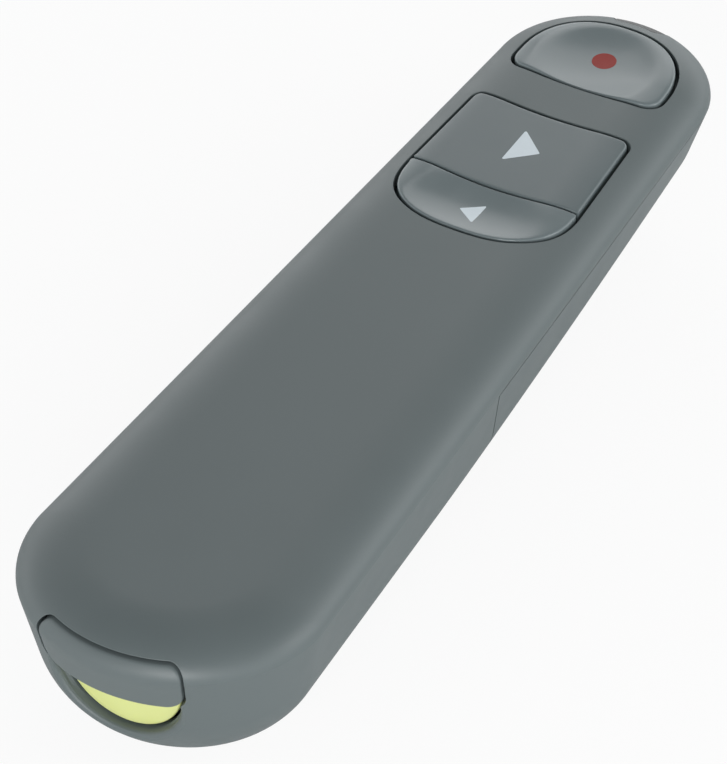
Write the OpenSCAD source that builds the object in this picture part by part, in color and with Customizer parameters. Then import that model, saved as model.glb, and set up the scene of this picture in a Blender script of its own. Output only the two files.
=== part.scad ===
// Wireless presentation clicker: a hand-held casing with three press keys, two AAA cells
// behind a door in its underside, a laser in its nose and a USB receiver parked in its tail.
// Long axis along Y with the nose at +Y, upward +Z, origin under the middle of the casing.

/* [Casing] */
// Overall length, tail to nose
body_len = 127; // [123:0.5:135]
// Width at the tail, where the outline is widest
tail_w = 36.6; // [35.6:0.1:40]
// Width at the nose, where the side meets the end curve
nose_w = 27.6; // [27:0.1:31]
// How far the tail's end curve reaches along the length
tail_round = 16.7; // [15:0.1:18]
// How far the nose's end curve reaches along the length
nose_round = 12.4; // [11.5:0.1:14]
// Overall height
body_h = 21.7; // [21.5:0.1:24]
// Height of the crease between crown and side
crease_z = 17.6; // [17.4:0.1:18]
// How far in from the outline the crown levels off
crown_in = 8.2; // [7.8:0.1:8.8]
// Radius of the rounding between side and underside
belly_r = 11.6; // [11:0.1:12]
// Lean of the side from upright, in degrees, where the underside is flat
side_lean = 11.7; // [10.5:0.1:12.5]
// How far the underside has risen at the nose tip
nose_lift = 4; // [3.5:0.1:4.5]
// Distance from the tail tip at which the underside starts to rise
lift_back = 49.5; // [46:0.5:54]
// Power of that rise: 2 for an even curve, more for one that waits
lift_power = 1.5; // [1.3:0.1:2]
// Wall thickness of the mouldings
wall = 1.6; // [1.4:0.05:1.8]
// Distance of the casing's parting line below the crease
parting_drop = 0.4; // [0.3:0.05:0.6]
// Width of the visible seams between casing mouldings
seam = 0.2; // [0.1:0.05:0.3]
// Distance of the side seam, at the crease, behind the front of the battery tray
split_back = 2.1; // [1.8:0.1:2.4]
// Forward lean of the side seam, per mm of height
split_lean = 0.2; // [0:0.02:0.25]

/* [Keys] */
// Gap between a key and its opening
key_gap = 0.45; // [0.35:0.05:0.55]
// How far a key's top stands above the crown around it
key_rise = 0.2; // [0.05:0.05:0.3]
// Travel of each key
key_travel = 0.4; // [0.25:0.05:0.45]
// How far a key's flange hooks under the casing
key_hook = 0.5; // [0.3:0.05:0.7]
// Thickness of a key's flange
flange_t = 0.75; // [0.6:0.05:0.8]
// Thickness of a key's walls
key_wall = 1.2; // [1:0.05:1.4]
// Radius of the shallow arcs that bound and divide the keys
edge_arc_r = 58; // [50:1:80]
// Distance from the nose tip to the laser key's widest place
laser_back = 14.5; // [14.3:0.1:15.5]
// Half width of the laser key at its widest
laser_half_w = 10.05; // [9.6:0.05:10.2]
// Distance from its widest place to its round upper edge
laser_round = 10; // [9.6:0.1:10.3]
// Fullness of that round edge, 2 for an ellipse
laser_fullness = 2.3; // [2:0.05:2.5]
// Distance from its widest place to its lower edge
laser_low = 3.55; // [3.3:0.05:3.9]
// Corner radius of the laser key
laser_corner = 2.2; // [1.5:0.1:2.6]
// Depth of the laser key's dish
laser_dish = 0.9; // [0.4:0.05:1.1]
// Distance from the nose tip to the upper edge of the two slide keys
nav_back = 24.65; // [24.4:0.05:26]
// Half width of the forward key at its upper edge
nav_half_top = 10.45; // [10:0.05:10.6]
// Half width of the pair of keys at its widest
nav_half_mid = 11.05; // [10.6:0.05:11.1]
// Distance from the upper edge to the widest place
nav_mid = 14.35; // [13.5:0.05:15]
// Depth of the back key's round lower edge, below the widest place
nav_round = 9.1; // [8.4:0.1:10]
// Fullness of that round edge, 2 for an ellipse
nav_fullness = 2.45; // [2:0.05:2.7]
// Corner radius of the forward key
nav_corner = 1.1; // [0.8:0.1:2]
// Distance from the upper edge to the gap between the two keys
nav_divide = 14.9; // [14:0.05:15.2]
// Depth of the back key's dish
back_dish = 0.4; // [0.2:0.05:0.6]

/* [Circuit board] */
// Thickness of the circuit board
board_t = 1; // [0.8:0.1:1.1]
// Side of a tact switch's square base
switch_w = 4.5; // [4:0.1:4.8]
// Height of a tact switch's base
switch_h = 3; // [2.8:0.1:3.4]
// Diameter of a tact switch's stem
stem_d = 2; // [1.6:0.1:2.4]
// Height of a stem above its switch
stem_up = 0.9; // [0.7:0.05:1]

/* [Laser] */
// Outer diameter of the laser's barrel
barrel_d = 6; // [5:0.1:6.2]
// Length of the laser's barrel
barrel_len = 8.4; // [7.5:0.1:8.6]
// Wall of the laser's barrel
barrel_wall = 0.8; // [0.6:0.05:1]
// Half width of the nose window
window_half_w = 3.4; // [2.8:0.1:4]
// Height of the nose window
window_h = 8.2; // [7.6:0.1:8.4]
// Thickness of the nose window
window_t = 1.3; // [1:0.05:1.4]
// Distance of the nose window's upper edge below the top of the casing
window_down = 1.2; // [1.1:0.05:1.6]

/* [Batteries] */
// Diameter of an AAA cell
cell_d = 10.5; // [10:0.1:10.5]
// Length of an AAA cell with its nub
cell_len = 44.5; // [43.5:0.1:44.5]
// Gap between the two cells
cell_gap = 0.6; // [0.4:0.1:0.8]
// Height of the cells above the inside of the door
cell_up = 0.3; // [0.2:0.1:0.5]
// Clearance round a cell
cell_clear = 0.2; // [0.15:0.05:0.3]
// Distance from the tail tip to the cells
cell_back = 13.3; // [13.2:0.1:14.5]
// Length of the compressed spring at the tail end of one cell
tail_spring_len = 4.2; // [3.6:0.1:4.2]
// Length of the compressed spring at the front end of the other cell
front_spring_len = 3; // [2.6:0.1:3.4]
// Thickness of the contact plates
plate_t = 0.4; // [0.3:0.05:0.5]
// Diameter of the springs' wire
wire_d = 0.5; // [0.4:0.05:0.6]
// Thickness of the tray's walls
tray_wall = 1; // [0.8:0.1:1.1]
// Thickness of the tray above a cell
tray_roof = 0.5; // [0.4:0.05:0.6]
// Half width of the battery door
door_half_w = 12.2; // [11.9:0.1:12.4]
// Distance from the tail tip to the battery door
door_back = 12; // [11.8:0.1:12.6]
// Length of the battery door
door_len = 47.5; // [46.5:0.1:48]
// Corner radius of the battery door
door_corner = 2; // [1:0.1:3]
// Gap round the battery door
door_gap = 0.2; // [0.15:0.05:0.3]

/* [Receiver] */
// Half width of the receiver's cap
cap_half_w = 9; // [8.6:0.1:9.2]
// Radius of the cap's upper corners
cap_corner = 1.9; // [1.2:0.1:2.2]
// Radius of the cap's lower corners
cap_low_corner = 3; // [2.2:0.1:3.2]
// Gap round the receiver
receiver_gap = 0.25; // [0.2:0.05:0.35]
// Half width of the receiver's body
receiver_half_w = 8.7; // [8.4:0.05:8.8]
// Length of the receiver's body ahead of its cap
receiver_len = 17.9; // [16:0.1:20]
// Distance from the tail tip to the front of the cap
cap_depth = 4.6; // [4.4:0.1:5]
// Radius of the round grip lip that hangs under the cap
lip_r = 7.2; // [6.8:0.1:7.4]
// Gap between the lip and the round scoop that it shows in
lip_gap = 0.35; // [0.25:0.05:0.4]
// How much the scoop's radius grows outward, per mm
scoop_flare = 0.36; // [0.2:0.01:0.45]
// Thickness of the grip lip
lip_t = 2; // [1.6:0.1:2.3]
// Wall of the receiver's body
receiver_wall = 1; // [0.8:0.1:1.2]
// Width of the USB plug
usb_w = 12; // [11.9:0.05:12.1]
// Height of the USB plug
usb_h = 4.5; // [4.4:0.05:4.6]
// Sheet thickness of the USB plug
usb_sheet = 0.3; // [0.25:0.05:0.35]
// Length of the USB plug ahead of the receiver's body
usb_len = 12.5; // [11.8:0.1:14]
// Room left ahead of the parked plug
usb_room = 2; // [1:0.1:3]

/* [Screws] */
// Diameter of the casing screws
screw_d = 2; // [1.8:0.1:2]
// Diameter of the screw heads
screw_head_d = 3.6; // [3.2:0.1:3.8]
// Height of the screw heads
screw_head_h = 1.4; // [1.2:0.1:1.6]
// Distance of each rear screw from the middle
rear_screw_x = 10.2; // [9.8:0.1:10.3]
// Distance of each front screw from the middle
front_screw_x = 8.2; // [7.8:0.1:8.3]

/* [Hidden] */
$fn = 48;
eps = 0.01;
// Points round each quarter of the outline, along each straight side, and up crown and belly
arc_n = 11;
side_n = 5;
crown_n = 5;
belly_n = 7;
oval_n = 24;
far = 200;

// Ends of the casing and heights shared by several pieces
nose_y = body_len / 2;
tail_y = -body_len / 2;
roof_z = body_h - wall;
parting_z = crease_z - parting_drop;
// How far in from the outline the middle of the belly's rounding lies
belly_in = belly_r * cos(side_lean) + (crease_z - belly_r + belly_r * sin(side_lean)) * tan(side_lean);

// Laser barrel, just behind the nose window
barrel_back = 3.8;
lead_len = 1.2;
board_gap = 0.2;
barrel_y1 = nose_y - barrel_back;
barrel_y0 = barrel_y1 - barrel_len;

// Keys
key_roof = 1.1;
post_gap = 0.2;
laser_y = nose_y - laser_back;
nav_top_y = nose_y - nav_back;
nav_mid_y = nav_top_y - nav_mid;
divide_y = nav_top_y - nav_divide;
hook_clear = 0.15;
hook_inset = min(nose_w / 2 - laser_half_w, half_width(nav_top_y) - nav_half_top) - key_gap / 2 - key_hook;
hook_z = roof_at(hook_inset) - hook_clear;
flange_z = hook_z - flange_t;
post_d = 3;
post_z = flange_z - post_gap;
laser_press_y = barrel_y0 - board_gap - switch_w / 2 - lead_len;
forward_press_y = (nav_top_y + divide_y) / 2;
back_press_y = (divide_y + nav_mid_y - nav_round) / 2;

// Circuit board, between the tray and the laser's barrel
board_side_gap = 0.7;
board_top = post_z - stem_up - switch_h;
board_z = board_top - board_t;
board_front = barrel_y0 - board_gap;
board_inset = wall + (crease_z - board_z) * tan(lean_at(board_front)) + board_side_gap;

// Parts on the board
chip_w = 5;
chip_h = 1;
chip_x = 5.5;
chip_y = (back_press_y + forward_press_y) / 2;
crystal_w = 3.2;
crystal_len = 2.5;
radio_w = 10;
radio_len = 7;
radio_h = 1.8;
small_w = 1.6;
small_h = 0.6;
small_x = 8.8;
small_pitch = 2.2;

// Batteries and tray
cell_r = cell_d / 2;
cell_x = (cell_d + cell_gap) / 2;
cell_z = wall + cell_up + cell_r;
cell_y0 = tail_y + cell_back;
cell_y1 = cell_y0 + cell_len;
nub_d = 3.8;
nub_h = 1;
pocket_r = cell_r + cell_clear;
tray_top = cell_z + pocket_r + tray_roof;
tail_plate_y = cell_y0 - tail_spring_len - plate_t;
minus_plate_y = cell_y1 + front_spring_len;
tray_y0 = tail_plate_y - tray_wall;
tray_y1 = minus_plate_y + plate_t + tray_wall;
tray_half_w = cell_x + pocket_r + tray_wall;
split_y = tray_y1 - split_back;
board_rear = tray_y1 + board_gap;
door_y0 = tail_y + door_back;
door_y1 = door_y0 + door_len;
door_top = cell_z;

// Receiver, which slides on the tray's roof between two rails
bay_gap = 0.2;
roof_gap = 0.6;
rail_gap = 0.1;
receiver_corner = 2;
receiver_z = tray_top + bay_gap;
receiver_top = roof_z - roof_gap;
// How far the cap reaches past the receiver's body at its top and its lower edge
cap_lap = 0.05;
cap_low_lap = 0.2;
cap_top = receiver_top + cap_lap;
cap_low_z = receiver_z - cap_low_lap;
cap_y = tail_y + cap_depth;
receiver_y1 = cap_y + receiver_len;
// Middle of the round lip, and how far the rim of its scoop reaches past its face
lip_mid_z = cap_low_z + 0.5;
lip_rim = 1;
usb_y1 = receiver_y1 + usb_len;
usb_z = (receiver_z + receiver_top) / 2;
bay_y1 = usb_y1 + usb_room;
rail_x = cap_half_w + rail_gap;

// Laser
flange_gap = 0.4;
barrel_z = flange_z - key_travel - flange_gap - barrel_d / 2;
window_top = body_h - window_down;
window_z = window_top - window_h;
window_y = barrel_y1 - 0.2;

// Screws: rear pair just ahead of the tray, front pair between the laser key and the slide keys
boss_d = 4.4;
ear_len = 3.2;
ear_t = 1;
ear_z = min(board_z, tray_top) - ear_t;
rear_screw_y = tray_y1 + ear_len;
front_screw_y = (laser_y - laser_low + nav_top_y) / 2 + arc_rise(front_screw_x);
screw_seat_z = 7.5;
SCREWS = [
    [rear_screw_x, rear_screw_y, ear_z],
    [-rear_screw_x, rear_screw_y, ear_z],
    [front_screw_x, front_screw_y, board_z],
    [-front_screw_x, front_screw_y, board_z]
];
front_seat_z = 9.3;
screw_grip = 3.4;
recess_w = 0.5;
screw_gap = 0.1;
head_gap = 0.2;

function lerp(a, b, t) = a + (b - a) * t;

// Half width of the straight sides at the crease
function half_width(y) =
    let (t = (y - tail_y - tail_round) / (body_len - tail_round - nose_round))
    lerp(tail_w / 2, nose_w / 2, t);

// Height of the underside's foot above the table, which rises towards the nose
function lift(y) = nose_lift * pow(max(y - tail_y - lift_back, 0) / (body_len - lift_back), lift_power);

// Lean of the side from upright, where it runs from the crease into the belly's rounding
function lean_at(y) =
    let (h = crease_z - belly_r - lift(y))
    90 - atan2(h, belly_in) - asin(belly_r / norm([belly_in, h]));

// Height of the casing's inner face at a distance in from the outline
function roof_at(inset) =
    let (c = 1 - (inset - wall) / crown_in)
    crease_z + (roof_z - crease_z) * sqrt(1 - c * c);

// One side of the outline, drawn in by an inset, from the tail tip to the nose tip
function plan_half(inset) =
    let (
        tw = tail_w / 2 - inset,
        nw = nose_w / 2 - inset,
        tr = tail_round * tw / (tail_w / 2),
        nr = nose_round * nw / (nose_w / 2),
        y0 = tail_y + inset,
        y1 = nose_y - inset
    )
    concat(
        [for (i = [0 : arc_n]) let (a = 90 * i / arc_n) [tw * sin(a), y0 + tr * (1 - cos(a))]],
        [for (i = [1 : side_n - 1]) let (t = i / side_n) [lerp(tw, nw, t), lerp(y0 + tr, y1 - nr, t)]],
        [for (i = [arc_n : -1 : 0]) let (a = 90 * i / arc_n) [nw * sin(a), y1 - nr * (1 - cos(a))]]
    );

function plan(inset) =
    let (h = plan_half(inset))
    concat(h, [for (i = [len(h) - 2 : -1 : 1]) [-h[i][0], h[i][1]]]);

// Section of the casing, or of its hollow when thick is the wall, up over the belly, the side and
// the crown: distance in from the outline, height, and share of the lift. With a rise the crown is
// that much higher.
function section(thick, rise, lean) =
    let (r = belly_r - thick, top = body_h - thick + rise)
    concat(
        [for (i = [belly_n : -1 : 0])
            let (a = lerp(lean, 90, i / belly_n))
            [belly_in - r * cos(a), belly_r - r * sin(a), 1]],
        [for (i = [0 : crown_n])
            let (a = 90 * i / crown_n)
            [thick + crown_in * (1 - cos(a)), lerp(crease_z, top, sin(a)), 0]]
    );

// The closed body of the casing or of its hollow, from rings of the outline
module form(thick = 0, rise = 0) {
    outline = plan(0);
    inward = plan(1) - outline;
    n = len(outline);
    half = n / 2;
    sections = [for (p = outline) section(thick, rise, lean_at(p[1]))];
    m = len(sections[0]);
    points = [for (k = [0 : m - 1]) for (i = [0 : n - 1])
        let (v = sections[i][k], p = outline[i] + v[0] * inward[i])
        [p[0], p[1], v[1] + v[2] * lift(p[1])]];
    sides = [for (k = [0 : m - 2]) for (i = [0 : n - 1])
        let (j = (i + 1) % n)
        [k * n + i, (k + 1) * n + i, (k + 1) * n + j, k * n + j]];
    foot = [for (i = [0 : half - 1])
        i == 0 ? [0, 1, n - 1]
        : i == half - 1 ? [i, i + 1, n - i]
        : [i, i + 1, n - i - 1, n - i]];
    t = (m - 1) * n;
    top = [for (i = [0 : half - 1])
        i == 0 ? [t, t + n - 1, t + 1]
        : i == half - 1 ? [t + i, t + n - i, t + i + 1]
        : [t + i, t + n - i, t + n - i - 1, t + i + 1]];
    polyhedron(points, concat(sides, foot, top), convexity = 6);
}

module skin() {
    difference() {
        form();
        form(wall);
    }
}

// A side view, in Y and Z, made as wide as needed along X
module side_view(width = far) {
    rotate([90, 0, 90]) linear_extrude(width, center = true) children();
}

// An end view, in X and Z, reaching forward along Y from y0 to y1
module end_view(y0, y1) {
    translate([0, y1, 0]) rotate([90, 0, 0]) linear_extrude(y1 - y0) children();
}

// The upper moulding's share of the skin: all above the parting line, and the whole tail
module upper_share() {
    side_view() polygon([
        [-far, -far],
        [split_y + split_lean * (crease_z + far), -far],
        [split_y + split_lean * parting_drop, parting_z],
        [far, parting_z],
        [far, far],
        [-far, far]
    ]);
}

module lower_share() {
    side_view() polygon([
        [split_y + seam + split_lean * (crease_z + far), -far],
        [split_y + seam + split_lean * parting_drop, parting_z - seam],
        [far, parting_z - seam],
        [far, -far]
    ]);
}

// Rounds the outer corners of a flat shape
module rounded(r) {
    offset(r = r, $fn = 32) offset(delta = -r) children();
}

// The upper half of an oval about the origin, from its right end to its left. It is fuller
// than an ellipse where its fullness is above 2.
function half_oval(half_w, reach, fullness) =
    [for (i = [0 : oval_n])
        let (a = 180 * i / oval_n, c = cos(a), s = sin(a))
        [half_w * sign(c) * pow(abs(c), 2 / fullness), reach * pow(abs(s), 2 / fullness)]];

// Middle line of the gap round the laser key
module laser_outline() {
    round_edge = half_oval(laser_half_w, laser_round, laser_fullness);
    rounded(laser_corner)
    intersection() {
        translate([0, laser_y])
            polygon(concat(round_edge, [[-laser_half_w, -laser_round], [laser_half_w, -laser_round]]));
        translate([0, laser_y - laser_low + edge_arc_r]) circle(edge_arc_r, $fn = 360);
    }
}

function arc_rise(x) = edge_arc_r - sqrt(edge_arc_r * edge_arc_r - x * x);

// Middle line of the gap round the two slide keys
module nav_outline() {
    edge_n = 8;
    low = [for (p = half_oval(nav_half_mid, nav_round, nav_fullness)) [-p[0], nav_mid_y - p[1]]];
    high = [for (i = [0 : edge_n])
        let (x = nav_half_top * (1 - 2 * i / edge_n))
        [x, nav_top_y + arc_rise(x)]];
    rounded(nav_corner) polygon(concat(low, high));
}

// All of the plan that lies nose-ward of the arc between the two slide keys
module ahead_of_divide(shift) {
    difference() {
        translate([-far / 2, divide_y + shift - 5]) square([far, far]);
        difference() {
            translate([-far / 2, divide_y + shift - 10]) square([far, 20]);
            translate([0, divide_y + shift + edge_arc_r]) circle(edge_arc_r, $fn = 360);
        }
    }
}

module forward_outline() {
    intersection() {
        offset(delta = -key_gap / 2) nav_outline();
        ahead_of_divide(key_gap / 2);
    }
}

module back_outline() {
    difference() {
        offset(delta = -key_gap / 2) nav_outline();
        ahead_of_divide(-key_gap / 2);
    }
}

// A key's cap: a hollow block under the crown, with a flange under the casing and a post for its switch
module key_cap(press_y) {
    roof_low = body_h + key_rise - laser_dish - key_roof;
    difference() {
        intersection() {
            union() {
                translate([0, 0, flange_z]) linear_extrude(body_h) children(0);
                translate([0, 0, flange_z]) linear_extrude(flange_t) children(1);
            }
            form(0, key_rise);
        }
        translate([0, 0, flange_z - eps])
            linear_extrude(roof_low - flange_z + eps)
            offset(delta = -key_wall) children(0);
    }
    translate([0, press_y, post_z]) cylinder(h = roof_low + key_roof / 2 - post_z, d = post_d);
}

// A shallow bowl for a fingertip: its depth at the middle and its radius at the rim
module dish(y, depth, rim) {
    r = (rim * rim + depth * depth) / (2 * depth);
    translate([0, y, body_h + key_rise - depth + r]) sphere(r, $fn = 180);
}

// The receiver's cap seen from behind, grown by a gap
module cap_profile(grow = 0) {
    offset(delta = grow) hull() for (side = [-1, 1]) {
        translate([side * (cap_half_w - cap_corner), cap_top - cap_corner]) circle(cap_corner);
        translate([side * (cap_half_w - cap_low_corner), cap_low_z + cap_low_corner])
            circle(cap_low_corner);
    }
}

// The lower half of a disc, under the receiver's cap
module lip_profile(grow = 0) {
    intersection() {
        translate([0, lip_mid_z]) circle(lip_r + grow, $fn = 96);
        translate([-far / 2, lip_mid_z - far]) square(far);
    }
}

module receiver_opening() {
    end_view(tail_y - 5, tail_y + tail_round) cap_profile(receiver_gap);
    end_view(tail_y - 5, tray_y0 - 0.2) lip_profile(lip_gap);
    scoop_flare();
}

// Widening of the scoop outward from the lip's face, level at its foot
module scoop_flare() {
    foot_z = lip_mid_z - lip_r - lip_gap;
    reach = cap_depth + 1;
    translate([0, cap_y, foot_z]) rotate([90, 0, 0])
        linear_extrude(reach, scale = 1 + scoop_flare * reach / (lip_r + lip_gap))
        translate([0, -foot_z]) lip_profile(lip_gap);
}

module door_outline(grow = 0) {
    offset(delta = grow) rounded(door_corner)
        translate([-door_half_w, door_y0]) square([2 * door_half_w, door_len]);
}

module window_profile(grow = 0) {
    offset(delta = grow) rounded(1.2)
        translate([-window_half_w, window_z]) square([2 * window_half_w, window_h]);
}

module window_opening() {
    end_view(window_y - 1, nose_y + 5) window_profile(0.1);
}

module top_shell() {
    color("slategray") difference() {
        union() {
            intersection() {
                skin();
                upper_share();
            }
            // The rim of the scoop under the grip lip
            intersection() {
                form();
                end_view(tail_y - 1, cap_y + lip_rim) lip_profile(lip_gap + wall);
            }
            for (s = SCREWS)
                translate([s[0], s[1], board_top]) cylinder(h = roof_z + 0.3 - board_top, d = boss_d);
        }
        for (s = SCREWS)
            translate([s[0], s[1], board_top - eps])
                cylinder(h = screw_grip + head_gap, d = screw_d + 2 * screw_gap);
        translate([0, 0, parting_z]) linear_extrude(far) offset(delta = key_gap / 2) laser_outline();
        translate([0, 0, parting_z]) linear_extrude(far) offset(delta = key_gap / 2) nav_outline();
        translate([0, 0, -eps]) linear_extrude(door_top + 0.5) door_outline(door_gap);
        receiver_opening();
        window_opening();
    }
}

// Seat height of a screw's head
function seat_z(s) = s[1] > rear_screw_y ? front_seat_z : screw_seat_z;

module bottom_shell() {
    cradle_t = 1.2;
    cradle_in = 1;
    cradle_w = barrel_d + 2;
    post_side = boss_d + 1.2;
    color("slategray") difference() {
        union() {
            intersection() {
                skin();
                lower_share();
            }
            intersection() {
                form();
                lower_share();
                union() {
                    for (s = SCREWS) translate([s[0], s[1], 0]) cylinder(h = s[2], d = post_side);
                    for (y = [barrel_y0 + cradle_in, barrel_y1 - cradle_in - cradle_t])
                        translate([-cradle_w / 2, y, 0]) cube([cradle_w, cradle_t, barrel_z]);
                }
            }
        }
        for (s = SCREWS) {
            translate([s[0], s[1], -eps]) cylinder(h = seat_z(s) + eps, d = screw_head_d + 2 * head_gap);
            translate([s[0], s[1], 0]) cylinder(h = far, d = screw_d + 2 * screw_gap);
        }
        laser_bore(0.05);
        window_opening();
    }
}

module laser_bore(clear) {
    translate([0, barrel_y0 - 1, barrel_z])
        rotate([-90, 0, 0]) cylinder(h = barrel_len + 1.4, d = barrel_d + 2 * clear);
}

module battery_door() {
    nail_r = 4;
    color("slategray") difference() {
        intersection() {
            skin();
            linear_extrude(door_top) door_outline();
        }
        cell_pockets();
        translate([0, door_y1 + nail_r - 1.6, -nail_r + 0.9]) sphere(nail_r);
    }
}

// Room for the two cells and the tail spring
module cell_pockets() {
    for (s = [-1, 1]) translate([s * cell_x, cell_y0 - tail_spring_len, cell_z])
        rotate([-90, 0, 0]) cylinder(h = cell_len + tail_spring_len, r = pocket_r);
}

module nose_window() {
    color("dimgray") difference() {
        intersection() {
            form();
            end_view(window_y, nose_y) window_profile();
        }
        translate([0, -window_t, 0]) form();
    }
}

module laser_key() {
    color("slategray") difference() {
        key_cap(laser_press_y) {
            offset(delta = -key_gap / 2) laser_outline();
            offset(delta = key_gap / 2 + key_hook) laser_outline();
        }
        dish(laser_y + 2.8, laser_dish, 8);
    }
}

module forward_key() {
    color("slategray") key_cap(forward_press_y) {
        forward_outline();
        intersection() {
            offset(delta = key_gap / 2 + key_hook) nav_outline();
            ahead_of_divide(key_gap / 2);
        }
    }
}

module back_key() {
    color("slategray") difference() {
        key_cap(back_press_y) {
            back_outline();
            difference() {
                offset(delta = key_gap / 2 + key_hook) nav_outline();
                ahead_of_divide(-key_gap / 2);
            }
        }
        dish(back_press_y, back_dish, 6);
    }
}

bore_depth = stem_up + 0.4;

// The stem of a tact switch, which the key above it pushes down
module stem(y) {
    color("black") translate([0, y, post_z - stem_up - bore_depth + key_travel + 0.1])
        cylinder(h = stem_up + bore_depth - key_travel - 0.1, d = stem_d);
}

module tact_switch(y) {
    color("silver") difference() {
        translate([-switch_w / 2, y - switch_w / 2, board_top]) cube([switch_w, switch_w, switch_h]);
        translate([0, y, board_top + switch_h - bore_depth]) cylinder(h = far, d = stem_d + 0.1);
    }
}

module main_board() {
    color("darkgreen") difference() {
        translate([0, 0, board_z]) linear_extrude(board_t) intersection() {
            polygon(plan(board_inset));
            translate([-far / 2, board_rear]) square([far, board_front - board_rear]);
        }
        for (s = SCREWS) translate([s[0], s[1], 0]) cylinder(h = far, d = screw_d + 2 * screw_gap);
    }
}

module on_board(x, y, w, l, h) {
    translate([x - w / 2, y - l / 2, board_top]) cube([w, l, h]);
}

// Between the switches of the two slide keys, beside the clock crystal
module controller_chip() {
    color("black") on_board(-chip_x, chip_y, chip_w, chip_w, chip_h);
}

// Between the forward key's switch and the laser key's
module radio_module() {
    color("silver") on_board(0, (forward_press_y + laser_press_y) / 2, radio_w, radio_len, radio_h);
}

module clock_crystal() {
    color("silver") on_board(chip_x, chip_y, crystal_w, crystal_len, chip_h);
}

// Small resistors and capacitors in two rows beside the forward key's switch
module chip_parts() {
    color("tan") for (side = [-1, 1]) for (i = [-2 : 2])
        on_board(side * small_x, forward_press_y + small_pitch * i, small_w, small_w / 2, small_h);
}

module laser_barrel() {
    color("goldenrod") translate([0, barrel_y0, barrel_z]) rotate([-90, 0, 0]) difference() {
        cylinder(h = barrel_len, d = barrel_d);
        translate([0, 0, 2]) cylinder(h = barrel_len, d = barrel_d - 2 * barrel_wall);
        translate([0, 0, -eps]) cylinder(h = 3, d = barrel_d - 2 * barrel_wall - 1.2);
    }
}

// Laser diode in the back of the barrel, with two leads that lie on the board
module laser_diode() {
    lead_d = 0.5;
    color("gainsboro") translate([0, barrel_y0, barrel_z]) rotate([-90, 0, 0]) {
        translate([0, 0, 2]) cylinder(h = 1, d = barrel_d - 2 * barrel_wall - 0.06);
        translate([0, 0, -0.2]) cylinder(h = 2.3, d = barrel_d - 2 * barrel_wall - 1.3);
        for (x = [-0.9, 0.9]) translate([x, barrel_z - board_top - lead_d / 2, -lead_len])
            cylinder(h = lead_len + 0.1, d = lead_d);
    }
}

module laser_lens() {
    color("lightcyan") translate([0, barrel_y1 - 1.4, barrel_z]) rotate([-90, 0, 0])
        cylinder(h = 1, d = barrel_d - 2 * barrel_wall - 0.06);
}

// Tray of the two cells, with the walls of the receiver's bay on its roof
module battery_tray() {
    color("dimgray") difference() {
        union() {
            intersection() {
                form(wall + 0.25);
                union() {
                    translate([-tray_half_w, tray_y0, cell_z - 1.2])
                        cube([2 * tray_half_w, tray_y1 - tray_y0, tray_top - cell_z + 1.2]);
                    translate([0, 0, tray_top - eps]) linear_extrude(receiver_top - tray_top) difference() {
                        translate([-rail_x - tray_wall, tray_y0])
                            square([2 * (rail_x + tray_wall), bay_y1 + tray_wall - tray_y0]);
                        translate([-rail_x, tray_y0 - eps]) square([2 * rail_x, bay_y1 - tray_y0 + eps]);
                    }
                }
            }
            for (s = [-1, 1]) translate([s * rear_screw_x - boss_d / 2, tray_y1 - eps, ear_z])
                cube([boss_d, rear_screw_y + boss_d / 2 - tray_y1, board_z - ear_z]);
        }
        for (s = [-1, 1]) translate([s * rear_screw_x, rear_screw_y, 0])
            cylinder(h = far, d = screw_d + 2 * screw_gap);
        cell_pockets();
        translate([-cell_x - pocket_r, cell_y0 - tail_spring_len, 0])
            cube([2 * (cell_x + pocket_r), cell_len + tail_spring_len, cell_z]);
        translate([cell_x, cell_y1 - eps, cell_z])
            rotate([-90, 0, 0]) cylinder(h = front_spring_len + eps, r = pocket_r);
        translate([-contact_half_w, tail_plate_y, cell_z - far])
            cube([2 * contact_half_w, plate_t + eps, far + link_h - link_low + slot_gap]);
        for (p = CONTACTS) translate([p[0] - plate_w / 2 - slot_gap, p[1], cell_z - far])
            cube([plate_w + 2 * slot_gap, plate_t, far + plate_w / 2 + slot_gap]);
        for (p = CONTACTS) translate([p[0] - tab_w / 2 - slot_gap, p[1], cell_z])
            cube([tab_w + 2 * slot_gap, plate_t, far]);
        for (p = CONTACTS) translate([p[0] - tab_w / 2 - slot_gap, p[1], board_top - slot_gap])
            cube([tab_w + 2 * slot_gap, far, far]);
    }
}

contact_half_w = 8.4;
link_h = 5.5;
link_low = 2.2;
plate_w = 6.4;
tab_w = 3;
slot_gap = 0.2;
foot_len = 1.5;
spring_wide_r = 3.4;
spring_narrow_r = 2.2;
// Places of the two front contacts: the plus plate of the left cell, the minus plate of the right
CONTACTS = [[-cell_x, cell_y1], [cell_x, minus_plate_y]];

module cell(nub_at_front) {
    y0 = nub_at_front ? cell_y0 : cell_y0 + nub_h;
    nub_y = nub_at_front ? cell_y1 - nub_h - eps : cell_y0;
    rotate([-90, 0, 0]) {
        translate([0, -cell_z, y0]) cylinder(h = cell_len - nub_h, d = cell_d);
        translate([0, -cell_z, nub_y]) cylinder(h = nub_h + eps, d = nub_d);
    }
}

module battery_left() {
    color("darkslategray") translate([-cell_x, 0, 0]) cell(true);
}

module battery_right() {
    color("darkslategray") translate([cell_x, 0, 0]) cell(false);
}

// Link between the two cells at the tail, with a raised button for the right one's nub
module tail_contact() {
    color("silver") {
        translate([-contact_half_w, tail_plate_y, cell_z - link_low])
            cube([2 * contact_half_w, plate_t, link_h]);
        translate([cell_x, tail_plate_y + plate_t - eps, cell_z])
            rotate([-90, 0, 0]) cylinder(h = tail_spring_len + eps, d1 = nub_d + 1.2, d2 = nub_d - 0.8);
    }
}

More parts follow.
